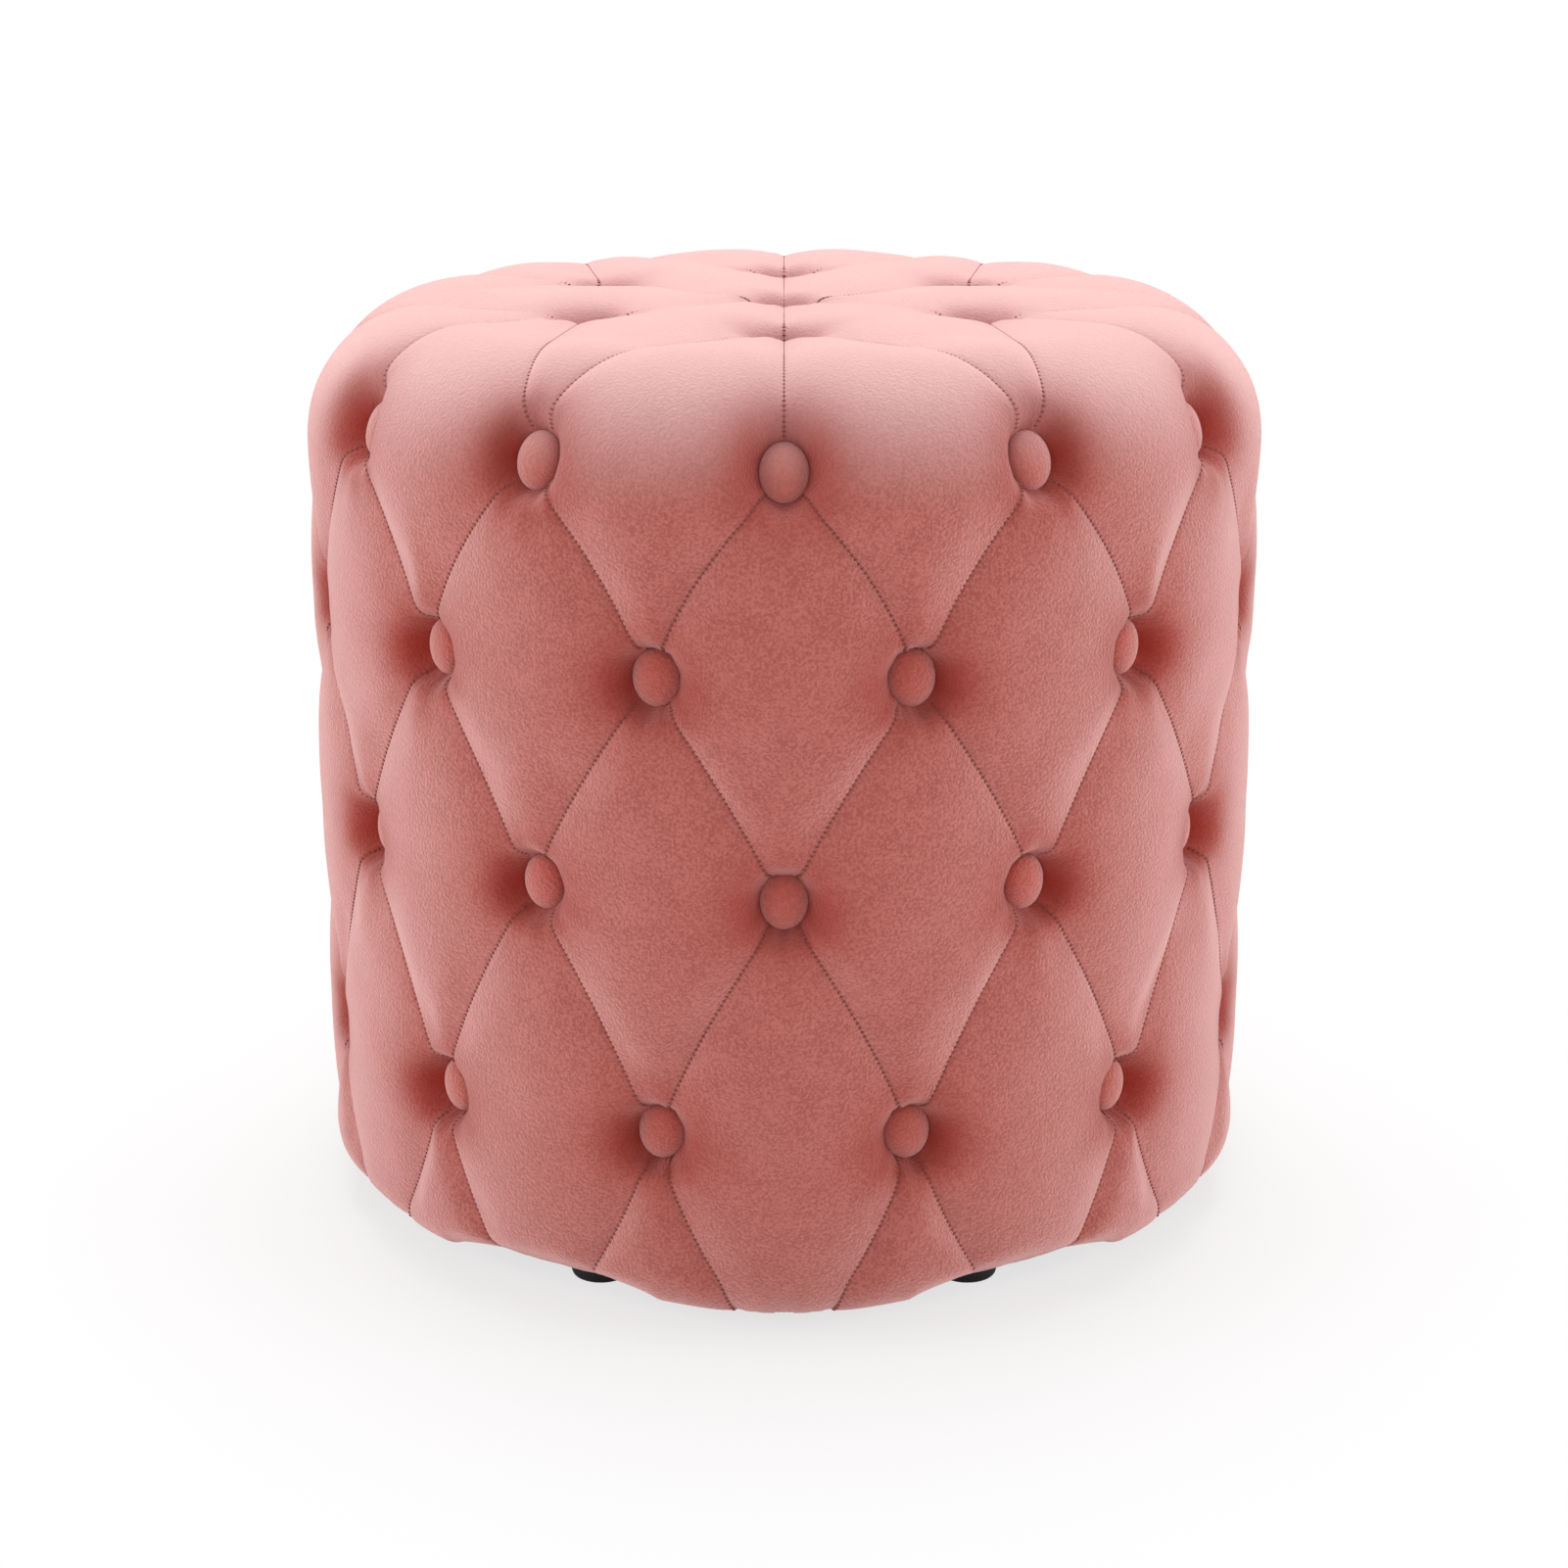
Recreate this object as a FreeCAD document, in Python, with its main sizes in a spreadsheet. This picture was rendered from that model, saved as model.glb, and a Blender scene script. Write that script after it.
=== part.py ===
"""Round deep-buttoned ottoman: a timber drum, foam, wadding, and a lining with padded velvet panels.

Millimetres. +Z is up, the floor is z = 0 and the drum's axis is x = y = 0. The front faces -Y.
Angles run from the front towards +X. Going outwards the drum is made of posts, wall, foam,
wadding, lining and padded panels, and every layer takes its radius from the one outside it.
"""
import FreeCAD
import Part
import math
import os
import Sketcher

Vector = FreeCAD.Vector

# The pattern is cut for these numbers of pieces: every second top pleat is a single one.
BUTTONS_ROUND = 12
TOP_RING_BUTTONS = 6
POSTS = 6
FEET = 6
STAPLES_ROUND = 24
NAILS_PER_POST = 3

SIZES = (
    ("overall_height", 439, "floor to the highest panel"),
    ("crown_radius", 228, "axis to the fullest part of a side panel"),
    ("tuft_depth", 17, "fullest part of a panel down to its seams"),
    ("seam_floor", 4, "seam down to the lining"),
    ("seam_gap", 2.4, "open groove between two panels"),
    ("shoulder_radius", 41, "rounding of the lining between side and top"),
    ("lining_thickness", 8, "quilted lining behind the panels"),
    ("hem_thickness", 3, "lining turned under the base ring"),
    ("hem_width", 42, "how far the hem is turned under"),
    ("hem_apex_drop", 119, "row 4 down to where the cut-off hem diamonds would end"),
    ("layer_gap", 0.3, "play between two soft or bent layers"),
    ("bend_ease", 0.8, "more play where a panel is drawn over the shoulder"),
    ("wadding_thickness", 4, "wadding over the foam"),
    ("side_foam_thickness", 32, "foam sleeve"),
    ("top_foam_thickness", 43, "seat foam over the top board"),
    ("rim_foam_thickness", 9, "seat foam over the edge of the wall"),
    ("washer_channel", 16, "ring of space between seat foam and wall"),
    ("wall_thickness", 6, "bent wall"),
    ("top_board_thickness", 15, "plywood"),
    ("base_ring_thickness", 18, "plywood"),
    ("base_ring_width", 88, "rim to opening"),
    ("post_width", 26, "along the wall"),
    ("post_depth", 40, "towards the axis"),
    ("button_width", 21, "round the drum"),
    ("button_height", 26, "up the drum"),
    ("button_rise", 7, "thickness of the covered cap"),
    ("button_gap", 1.5, "button to the panels beside it"),
    ("button_back_diameter", 16, "plate behind the cap"),
    ("button_back_thickness", 1.2, "plate behind the cap"),
    ("row_1_tilt", 20, "degrees up the shoulder to the first row"),
    ("row_2_drop", 74, "start of the shoulder down to the second row of buttons"),
    ("row_3_drop", 98, "second row down to the third"),
    ("row_4_height", 95, "floor to the fourth row of buttons"),
    ("top_ring_radius", 103, "axis to the ring of top buttons"),
    ("twine_diameter", 1.6, "button twine"),
    ("twine_bore", 3, "hole for the twine in every layer"),
    ("washer_diameter", 10, "stops the knot"),
    ("washer_thickness", 2, "stops the knot"),
    ("knot_diameter", 5, "end of the twine"),
    ("foot_height", 15, "floor to the dust cover"),
    ("foot_top_diameter", 36, "against the dust cover"),
    ("foot_bottom_diameter", 27, "on the floor"),
    ("foot_rounding", 2, "lower edge"),
    ("foot_inset", 27.7, "rim of the base ring to the middle of a foot"),
    ("foot_recess_depth", 5, "sinks the screw head"),
    ("foot_recess_diameter", 11, "sinks the screw head"),
    ("foot_bore", 4.6, "clears the screw"),
    ("screw_diameter", 4, "shank of every screw"),
    ("screw_head_diameter", 8.5, "every screw"),
    ("screw_head_height", 3, "every screw"),
    ("foot_screw_length", 25, "below the head"),
    ("frame_screw_length", 45, "with the sunk head"),
    ("nail_diameter", 2, "wall nails"),
    ("nail_length", 22, "wall nails"),
    ("nail_head_diameter", 5, "wall nails"),
    ("nail_head_height", 1, "wall nails"),
    ("nail_inset", 45, "lowest and highest nail from the ends of a post"),
    ("dust_cover_thickness", 1, "cloth under the base"),
    ("dust_cover_inset", 9, "rim of the base ring to the edge of the cloth"),
    ("dust_staple_inset", 6, "edge of the cloth to its staples"),
    ("hem_staple_inset", 6, "rim of the base ring to the hem staples"),
    ("staple_crown", 10, "width over the legs"),
    ("staple_leg", 10, "height with the crown"),
    ("staple_wire", 0.8, "square wire"),
)

# What follows from the sizes, outermost layer first.
LEVELS = (
    ("seam_radius", "Sizes.crown_radius - Sizes.tuft_depth"),
    ("lining_radius", "Levels.seam_radius - Sizes.seam_floor"),
    ("lining_bore", "Levels.lining_radius - Sizes.lining_thickness"),
    ("wadding_radius", "Levels.lining_bore - Sizes.layer_gap"),
    ("wadding_bore", "Levels.wadding_radius - Sizes.wadding_thickness"),
    ("foam_radius", "Levels.wadding_bore - Sizes.layer_gap"),
    ("foam_bore", "Levels.foam_radius - Sizes.side_foam_thickness"),
    ("wall_radius", "Levels.foam_bore - Sizes.layer_gap"),
    ("wall_bore", "Levels.wall_radius - Sizes.wall_thickness"),
    ("board_radius", "Levels.wall_bore - Sizes.layer_gap"),
    ("well_radius", "Levels.wall_bore - Sizes.washer_channel"),
    ("ring_radius", "Levels.lining_bore - Sizes.layer_gap"),
    ("ring_bore", "Levels.ring_radius - Sizes.base_ring_width"),
    ("foot_circle", "Levels.ring_radius - Sizes.foot_inset"),
    ("hem_opening", "Levels.lining_radius - Sizes.hem_width"),
    ("dust_radius", "Levels.ring_radius - Sizes.dust_cover_inset"),
    ("flat_radius", "Levels.lining_radius - Sizes.shoulder_radius"),
    ("hem_bottom", "Sizes.foot_height + Sizes.dust_cover_thickness"),
    ("ring_bottom", "Levels.hem_bottom + Sizes.hem_thickness"),
    ("ring_top", "Levels.ring_bottom + Sizes.base_ring_thickness"),
    ("seam_top", "Sizes.overall_height - Sizes.tuft_depth"),
    ("lining_top", "Levels.seam_top - Sizes.seam_floor"),
    ("lining_ceiling", "Levels.lining_top - Sizes.lining_thickness"),
    ("wadding_top", "Levels.lining_ceiling - Sizes.layer_gap"),
    ("wadding_ceiling", "Levels.wadding_top - Sizes.wadding_thickness"),
    ("foam_top", "Levels.wadding_ceiling - Sizes.layer_gap"),
    ("shoulder_level", "Levels.lining_top - Sizes.shoulder_radius"),
    ("board_top", "Levels.foam_top - Sizes.top_foam_thickness"),
    ("board_bottom", "Levels.board_top - Sizes.top_board_thickness"),
    ("wall_top", "Levels.foam_top - Sizes.rim_foam_thickness"),
    ("post_face", "sqrt((Levels.wall_bore - Sizes.layer_gap) ^ 2 - (Sizes.post_width / 2) ^ 2)"),
    ("post_middle", "Levels.post_face - Sizes.post_depth / 2"),
)

doc = FreeCAD.newDocument("Ottoman")
sizes = doc.addObject("Spreadsheet::Sheet", "Sizes")
for line, (alias, number, note) in enumerate(SIZES, start=1):
    sizes.set("A%d" % line, alias)
    sizes.set("B%d" % line, str(number))
    sizes.setAlias("B%d" % line, alias)
    sizes.set("C%d" % line, note)
levels = doc.addObject("Spreadsheet::Sheet", "Levels")
for line, (alias, formula) in enumerate(LEVELS, start=1):
    levels.set("A%d" % line, alias)
    levels.set("B%d" % line, "=" + formula)
    levels.setAlias("B%d" % line, alias)
doc.recompute()

parts = []


def value(expression):
    """The number that an expression on the two sheets gives."""
    return float(sizes.evalExpression(expression))


def finish(thing, label):
    """Keep an object as one of the finished pieces, under the name of its file."""
    thing.Label = label
    parts.append(thing)
    return thing


def group(label, shapes):
    """Like pieces that share one node, each a solid of its own."""
    thing = doc.addObject("Part::Feature", label)
    thing.Shape = Part.makeCompound(shapes)
    return finish(thing, label)


def role(body, name):
    """One of a body's own planes or axes."""
    return [item for item in body.Origin.OriginFeatures if item.Role == name][0]


def circles(body, name, radii):
    """A sketch of circles round the axis on the body's ground plane, each radius bound to the sheets."""
    sketch = body.newObject("Sketcher::SketchObject", name)
    sketch.AttachmentSupport = [(role(body, "XY_Plane"), "")]
    sketch.MapMode = "FlatFace"
    for radius in radii:
        circle = Part.Circle(Vector(0, 0, 0), Vector(0, 0, 1), value(radius))
        number = sketch.addGeometry(circle, False)
        sketch.addConstraint(Sketcher.Constraint("Coincident", number, 3, -1, 1))
        bound = sketch.addConstraint(Sketcher.Constraint("Radius", number, value(radius)))
        sketch.setExpression("Constraints[%d]" % bound, radius)
    return sketch


def raised(name, radii, bottom, top):
    """A body padded from circles between two levels."""
    body = doc.addObject("PartDesign::Body", name)
    pad = body.newObject("PartDesign::Pad", name + "_pad")
    pad.Profile = circles(body, name + "_plan", radii)
    pad.setExpression("Length", "%s - (%s)" % (top, bottom))
    body.setExpression("Placement.Base.z", bottom)
    doc.recompute()
    return body


def rounded_drum(name, radius, bottom, top):
    """A drum whose upper edge is rounded about the shoulder's own middle, so that layers stay even."""
    body = raised(name, [radius], bottom, top)
    pad = body.Tip
    rims = [
        "Edge%d" % number
        for number, edge in enumerate(pad.Shape.Edges, start=1)
        if edge.Closed and edge.BoundBox.ZMin > pad.Length.Value / 2
    ]
    fillet = body.newObject("PartDesign::Fillet", name + "_shoulder")
    fillet.Base = (pad, rims)
    fillet.setExpression("Radius", "%s - Levels.flat_radius" % radius)
    doc.recompute()
    return body


def cylinder(name, radius, bottom, top):
    """A plain cylinder round the axis between two levels."""
    thing = doc.addObject("Part::Cylinder", name)
    thing.setExpression("Radius", radius)
    thing.setExpression("Height", "%s - (%s)" % (top, bottom))
    thing.setExpression("Placement.Base.z", bottom)
    return thing


def cut(name, base, *tools):
    """A piece with others taken out of it."""
    result = base
    for number, tool in enumerate(tools, start=1):
        step = doc.addObject("Part::Cut", "%s_%d" % (name, number))
        step.Base = result
        step.Tool = tool
        result = step
    doc.recompute()
    return result


def fused(name, first, second):
    """Two shapes of one piece joined."""
    thing = doc.addObject("Part::Fuse", name)
    thing.Base = first
    thing.Tool = second
    doc.recompute()
    return thing


def outward(angle):
    """The level direction away from the axis at an angle from the front."""
    return Vector(math.sin(angle), -math.cos(angle), 0)


def along(angle):
    """The level direction round the drum at an angle from the front."""
    return Vector(math.cos(angle), math.sin(angle), 0)


def even_angles(count, first=0.0):
    """Angles of a count of places round the drum, with the first in degrees."""
    return [math.radians(first) + 2 * math.pi * number / count for number in range(count)]


def placed(shape, middle, side, up, out):
    """A copy of a shape with its X, Y and Z laid along three directions at a place."""
    matrix = FreeCAD.Matrix(
        side.x, up.x, out.x, middle.x,
        side.y, up.y, out.y, middle.y,
        side.z, up.z, out.z, middle.z,
        0, 0, 0, 1,
    )
    copy = shape.copy()
    copy.Placement = FreeCAD.Placement(matrix).multiply(copy.Placement)
    return copy


def ring_of(shape, radius, level, angles):
    """Upright copies of a shape round the drum, each with its X round the drum and its Y outwards."""
    return [
        placed(
            shape,
            outward(angle) * radius + Vector(0, 0, level),
            along(angle) * -1,
            outward(angle),
            Vector(0, 0, 1),
        )
        for angle in angles
    ]


# The skin that the seams lie in runs up the side, round the shoulder and across the top.
seam_radius = levels.seam_radius
flat_radius = levels.flat_radius
shoulder_level = levels.shoulder_level
hem_bottom = levels.hem_bottom
bend = seam_radius - flat_radius
side_run = shoulder_level - hem_bottom
bend_run = bend * math.pi / 2
half_step = math.pi / BUTTONS_ROUND


def skin(run):
    """Radius, level and slope of the skin at a run measured up from the hem."""
    if run <= side_run:
        return seam_radius, hem_bottom + run, 0.0
    if run <= side_run + bend_run:
        slope = (run - side_run) / bend
        return flat_radius + bend * math.cos(slope), shoulder_level + bend * math.sin(slope), slope
    return flat_radius - (run - side_run - bend_run), levels.seam_top, math.pi / 2


def run_at_slope(degrees):
    """The run up to a place on the shoulder."""
    return side_run + bend * math.radians(degrees)


def run_at_radius(radius):
    """The run up to a place on the flat top."""
    return side_run + bend_run + flat_radius - radius


row_1 = run_at_slope(sizes.row_1_tilt)
row_2 = side_run - sizes.row_2_drop
row_3 = row_2 - sizes.row_3_drop
row_4 = sizes.row_4_height - hem_bottom
ring_run = run_at_radius(sizes.top_ring_radius)
middle_run = run_at_radius(0)


def seat(run, angle):
    """Where a button sits on the lining: middle, round the drum, up the drum and outwards."""
    radius, level, slope = skin(run)
    out = outward(angle) * math.cos(slope) + Vector(0, 0, math.sin(slope))
    up = Vector(0, 0, math.cos(slope)) - outward(angle) * math.sin(slope)
    middle = outward(angle) * radius + Vector(0, 0, level) - out * sizes.seam_floor
    return middle, along(angle), up, out


button_rows = {
    "side_buttons_row_1": [seat(row_1, angle) for angle in even_angles(BUTTONS_ROUND)],
    "side_buttons_row_2": [seat(row_2, angle + half_step) for angle in even_angles(BUTTONS_ROUND)],
    "side_buttons_row_3": [seat(row_3, angle) for angle in even_angles(BUTTONS_ROUND)],
    "side_buttons_row_4": [seat(row_4, angle + half_step) for angle in even_angles(BUTTONS_ROUND)],
    "top_buttons_ring": [seat(ring_run, angle) for angle in even_angles(TOP_RING_BUTTONS)],
    "top_button_centre": [seat(middle_run, 0.0)],
}


def twine_reach(place):
    """How far the twine runs inwards from a seat to the face that its washer bears on."""
    middle, side, up, out = place
    if out.z > 0.99:
        return levels.lining_top - levels.board_bottom
    lean = math.asin(out.z)
    level_run = math.hypot(middle.x, middle.y) - levels.wall_bore
    return level_run / math.cos(lean) + sizes.washer_diameter / 2 * math.tan(lean)


# Covered buttons with their backs, twine, knots and washers.
cap = doc.addObject("Part::Ellipsoid", "button_cap")
cap.Angle1 = 0
cap.setExpression("Radius1", "Sizes.button_rise")
cap.setExpression("Radius2", "Sizes.button_width / 2")
cap.setExpression("Radius3", "Sizes.button_height / 2")
cap.setExpression("Placement.Base.z", "Sizes.layer_gap + Sizes.button_back_thickness")
plate = cylinder(
    "back_plate",
    "Sizes.button_back_diameter / 2",
    "Sizes.layer_gap",
    "Sizes.layer_gap + Sizes.button_back_thickness",
)
plate_bore = cylinder(
    "back_bore",
    "Sizes.twine_bore / 2",
    "Sizes.layer_gap - 1",
    "Sizes.layer_gap + Sizes.button_back_thickness + 1",
)
back = cut("button_back", plate, plate_bore)
washer_blank = cylinder("washer_blank", "Sizes.washer_diameter / 2", "0", "Sizes.washer_thickness")
washer_bore = cylinder("washer_bore", "Sizes.twine_bore / 2", "-1", "Sizes.washer_thickness + 1")
washer = cut("washer", washer_blank, washer_bore)
doc.recompute()

backs = []
twines = []
washers = []
bores = []
for label, places in button_rows.items():
    group(label, [placed(cap.Shape, *place) for place in places])
    for place in places:
        middle, side, up, out = place
        inner = twine_reach(place) + sizes.layer_gap
        under = inner + sizes.washer_thickness
        rear = sizes.layer_gap + sizes.button_back_thickness
        backs.append(placed(back.Shape, *place))
        washers.append(placed(washer.Shape, middle - out * under, side, up, out))
        knot = sizes.knot_diameter / 2
        line = Part.makeCylinder(sizes.twine_diameter / 2, rear + under + knot, middle + out * rear, out * -1)
        ball = Part.makeSphere(knot, middle - out * (under + knot))
        twines.append(line.fuse(ball))
        bores.append(Part.makeCylinder(sizes.twine_bore / 2, inner + 4, middle + out * 2, out * -1))
group("button_backs", backs)
group("button_twine", twines)
group("twine_washers", washers)
twine_holes = doc.addObject("Part::Feature", "twine_holes")
twine_holes.Shape = Part.makeCompound(bores)

# Screws, nails and staples, made first because the boards are cut to take them.
post_angles = even_angles(POSTS, math.degrees(half_step) * 1.5)
foot_angles = even_angles(FEET, 180.0 / FEET)
staple_angles = even_angles(STAPLES_ROUND, 180.0 / STAPLES_ROUND)

foot_screw_head = cylinder(
    "foot_screw_head",
    "Sizes.screw_head_diameter / 2",
    "Sizes.foot_recess_depth - Sizes.screw_head_height",
    "Sizes.foot_recess_depth",
)
foot_screw_shank = cylinder(
    "foot_screw_shank",
    "Sizes.screw_diameter / 2",
    "Sizes.foot_recess_depth - 1",
    "Sizes.foot_recess_depth + Sizes.foot_screw_length",
)
foot_screw = fused("foot_screw", foot_screw_head, foot_screw_shank)
foot_screws = group(
    "foot_screws",
    ring_of(foot_screw.Shape, levels.foot_circle, 0, foot_angles),
)

sunk_head = doc.addObject("Part::Cone", "sunk_head")
sunk_head.setExpression("Radius1", "Sizes.screw_head_diameter / 2")
sunk_head.setExpression("Radius2", "Sizes.screw_diameter / 2")
sunk_head.setExpression("Height", "Sizes.screw_head_height")
sunk_shank = cylinder("sunk_shank", "Sizes.screw_diameter / 2", "1", "Sizes.frame_screw_length")
frame_screw = fused("frame_screw", sunk_head, sunk_shank)
base_screws = group(
    "base_screws",
    ring_of(frame_screw.Shape, levels.post_middle, levels.ring_bottom, post_angles),
)
board_screws = group(
    "top_board_screws",
    [
        placed(
            frame_screw.Shape,
            outward(angle) * levels.post_middle + Vector(0, 0, levels.board_top),
            along(angle),
            outward(angle),
            Vector(0, 0, -1),
        )
        for angle in post_angles
    ],
)

nail_head = cylinder("nail_head", "Sizes.nail_head_diameter / 2", "0", "Sizes.nail_head_height")
nail_shank = cylinder("nail_shank", "Sizes.nail_diameter / 2", "0.5", "Sizes.nail_length")
nail = fused("nail", nail_head, nail_shank)
lowest_nail = levels.ring_top + sizes.nail_inset
highest_nail = levels.board_bottom - sizes.nail_inset
nail_levels = [
    lowest_nail + (highest_nail - lowest_nail) * number / (NAILS_PER_POST - 1)
    for number in range(NAILS_PER_POST)
]
wall_nails = group(
    "wall_nails",
    [
        placed(
            nail.Shape,
            outward(angle) * levels.wall_radius + Vector(0, 0, level),
            along(angle) * -1,
            Vector(0, 0, 1),
            outward(angle) * -1,
        )
        for angle in post_angles
        for level in nail_levels
    ],
)


def staple():
    """A square-wire staple with its crown at the bottom and its legs up."""
    wire = sizes.staple_wire
    width = sizes.staple_crown
    crown = Part.makeBox(width, wire, wire, Vector(-width / 2, -wire / 2, 0))
    legs = [
        Part.makeBox(wire, wire, sizes.staple_leg, Vector(left, -wire / 2, 0))
        for left in (-width / 2, width / 2 - wire)
    ]
    return crown.fuse(legs).removeSplitter()


hem_staples = group(
    "hem_staples",
    ring_of(staple(), levels.ring_radius - sizes.hem_staple_inset, hem_bottom, staple_angles),
)
dust_staples = group(
    "dust_cover_staples",
    ring_of(
        staple(),
        levels.dust_radius - sizes.dust_staple_inset,
        sizes.foot_height - sizes.staple_wire,
        staple_angles,
    ),
)

# Timber frame.
ring_blank = raised(
    "ring_blank",
    ["Levels.ring_radius", "Levels.ring_bore"],
    "Levels.ring_bottom",
    "Levels.ring_top",
)
finish(cut("ring", ring_blank, foot_screws, base_screws, hem_staples, dust_staples), "base_ring")

for number, angle in enumerate(post_angles, start=1):
    post = doc.addObject("Part::Box", "post_blank_%d" % number)
    turn = math.degrees(angle) - 90
    post.setExpression("Length", "Sizes.post_depth")
    post.setExpression("Width", "Sizes.post_width")
    post.setExpression("Height", "Levels.board_bottom - Levels.ring_top")
    inner = "(Levels.post_face - Sizes.post_depth)"
    half = "Sizes.post_width / 2"
    post.setExpression("Placement.Base.x", "%s * cos(%f deg) + %s * sin(%f deg)" % (inner, turn, half, turn))
    post.setExpression("Placement.Base.y", "%s * sin(%f deg) - %s * cos(%f deg)" % (inner, turn, half, turn))
    post.setExpression("Placement.Base.z", "Levels.ring_top")
    post.Placement.Rotation = FreeCAD.Rotation(Vector(0, 0, 1), turn)
    label = "post_%d" % number
    finish(cut(label + "_bored", post, base_screws, board_screws, wall_nails), label)

wall_blank = raised(
    "wall_blank",
    ["Levels.wall_radius", "Levels.wall_bore"],
    "Levels.ring_top",
    "Levels.wall_top",
)
finish(cut("wall", wall_blank, twine_holes, wall_nails), "drum_wall")

board_blank = raised("board_blank", ["Levels.board_radius"], "Levels.board_bottom", "Levels.board_top")
finish(cut("board", board_blank, twine_holes, board_screws), "top_board")

# Foam and wadding.
foam_drum = rounded_drum("foam_drum", "Levels.foam_radius", "Levels.ring_top", "Levels.foam_top")
foam_core = cylinder("foam_core", "Levels.foam_bore", "Levels.ring_top - 1", "Levels.foam_top + 1")
finish(cut("sleeve", foam_drum, foam_core, twine_holes), "side_foam")

seat_lower = raised(
    "seat_lower",
    ["Levels.well_radius"],
    "Levels.board_top",
    "Levels.foam_top",
)
seat_upper = raised(
    "seat_upper",
    ["Levels.wall_radius"],
    "Levels.wall_top + Sizes.layer_gap",
    "Levels.foam_top",
)
seat_foam = fused("seat_foam", seat_lower, seat_upper)
finish(cut("seat", seat_foam, twine_holes), "top_foam")

wadding_drum = rounded_drum("wadding_drum", "Levels.wadding_radius", "Levels.ring_top", "Levels.wadding_top")
wadding_core = rounded_drum(
    "wadding_core",
    "Levels.wadding_bore",
    "Levels.ring_top - 1",
    "Levels.wadding_ceiling",
)
finish(cut("wrap", wadding_drum, wadding_core, twine_holes), "wadding")

# Lining with a turned-under hem.
lining_drum = rounded_drum("lining_drum", "Levels.lining_radius", "Levels.hem_bottom", "Levels.lining_top")
lining_core = rounded_drum("lining_core", "Levels.lining_bore", "Levels.ring_bottom", "Levels.lining_ceiling")
hem_hole = cylinder("hem_hole", "Levels.hem_opening", "Levels.hem_bottom - 1", "Levels.ring_bottom + 1")
lining = cut(
    "lining",
    lining_drum,
    lining_core,
    hem_hole,
    twine_holes,
    foot_screws,
    hem_staples,
    dust_staples,
)
finish(lining, "cover_lining")

# Padded velvet panels, sewn on between the buttons.
button_end = sizes.button_height / 2 + sizes.button_gap
button_side = sizes.button_width / 2 + sizes.button_gap
half_gap = sizes.seam_gap / 2
beside_part = 0.6


def panel(angle, stations):
    """A padded panel drawn through its sections, each an arc over the padding and one along the lining.

    A station is the run up the skin, the reach to the left and right seams, and the share of the
    full padding at that place.
    """
    wires = []
    for run, left, right, share in stations:
        radius, level, slope = skin(run)
        out = outward(angle) * math.cos(slope) + Vector(0, 0, math.sin(slope))
        side = along(angle)
        place = outward(angle) * radius + Vector(0, 0, level)

        def at(reach, height):
            drop = 0.0
            if slope < 1.5:
                drop = (radius - math.sqrt(radius ** 2 - reach ** 2)) * math.cos(slope)
            return place + side * reach + out * (height - drop)

        half = (left + right) / 2
        centre = (right - left) / 2
        back = sizes.layer_gap - sizes.seam_floor
        if 0 < slope < 1.5:
            back += sizes.bend_ease
        rise = min(sizes.tuft_depth * share, 0.85 * half)
        corners = [at(-left, 0), at(right, 0), at(right, back), at(-left, back)]
        edges = [Part.Arc(corners[0], at(centre, rise), corners[1]).toShape()]
        edges.append(Part.LineSegment(corners[1], corners[2]).toShape())
        if slope < 1.5:
            edges.append(Part.Arc(corners[2], at(centre, back), corners[3]).toShape())
        else:
            edges.append(Part.LineSegment(corners[2], corners[3]).toShape())
        edges.append(Part.LineSegment(corners[3], corners[0]).toShape())
        wires.append(Part.Wire(edges))
    return Part.makeLoft(wires, True, True)


def steps(first, last, count):
    """Even places from the first to the last, without the last."""
    return [first + (last - first) * number / count for number in range(count)]


def beside(seam, from_button, ease=0.0):
    """A panel's reach short of its seam, drawn in where it passes a button at a distance along the seam."""
    inside = max(1 - (from_button / button_end) ** 2, 0.0)
    return seam - max(half_gap, (button_side + ease) * math.sqrt(inside))


def swell(passed, least, fullness):
    """Share of the full padding at a part of the way from an end of a panel to its fullest place."""
    return least + (1 - least) * math.sin(math.pi / 2 * min(max(passed, 0.0), 1.0)) ** fullness


def half_width(run):
    """Level distance from the meridian through one button to the meridian half a step on."""
    return skin(run)[0] * math.sin(half_step)


def half_diamond(corner, apex):
    """Stations from the apex of a diamond, short of the button there, up to its widest place."""
    span = corner - apex
    short = math.copysign(button_end, span)
    close = corner - short * beside_part
    stations = []
    for run in steps(apex + short, close, 3) + [close]:
        seam = half_width(corner) * (run - apex) / span
        reach = beside(seam, run - corner)
        passed = (run - apex - short) / (span - short)
        stations.append((run, reach, reach, swell(passed, 0.25, 0.9)))
    return stations


def widest(corner, ease=0.0):
    """The station between two buttons of one row."""
    reach = beside(half_width(corner), 0.0, ease)
    return [(corner, reach, reach, 1.0)]


def diamond(low, corner, high):
    """Stations of a whole side diamond from its lower apex to its upper one."""
    return half_diamond(corner, low) + widest(corner) + half_diamond(corner, high)[::-1]


def hem_edge(run):
    """Reach of the seams of a cut-off hem diamond at a run below row 4."""
    return half_width(run) * (1 - (row_4 - run) / sizes.hem_apex_drop)


hem_start = 2.0
hem_curl = 43.0


def hem_diamond():
    """Stations of a diamond that the hem cuts off, rounded under at the hem."""
    stations = []
    close = row_4 - button_end * beside_part
    for run in steps(hem_start, close, 5) + [close]:
        reach = beside(hem_edge(run), row_4 - run)
        stations.append((run, reach, reach, swell((run - hem_start) / hem_curl, 0.12, 0.8)))
    return stations + widest(row_4) + half_diamond(row_4, row_3)[::-1]


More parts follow.
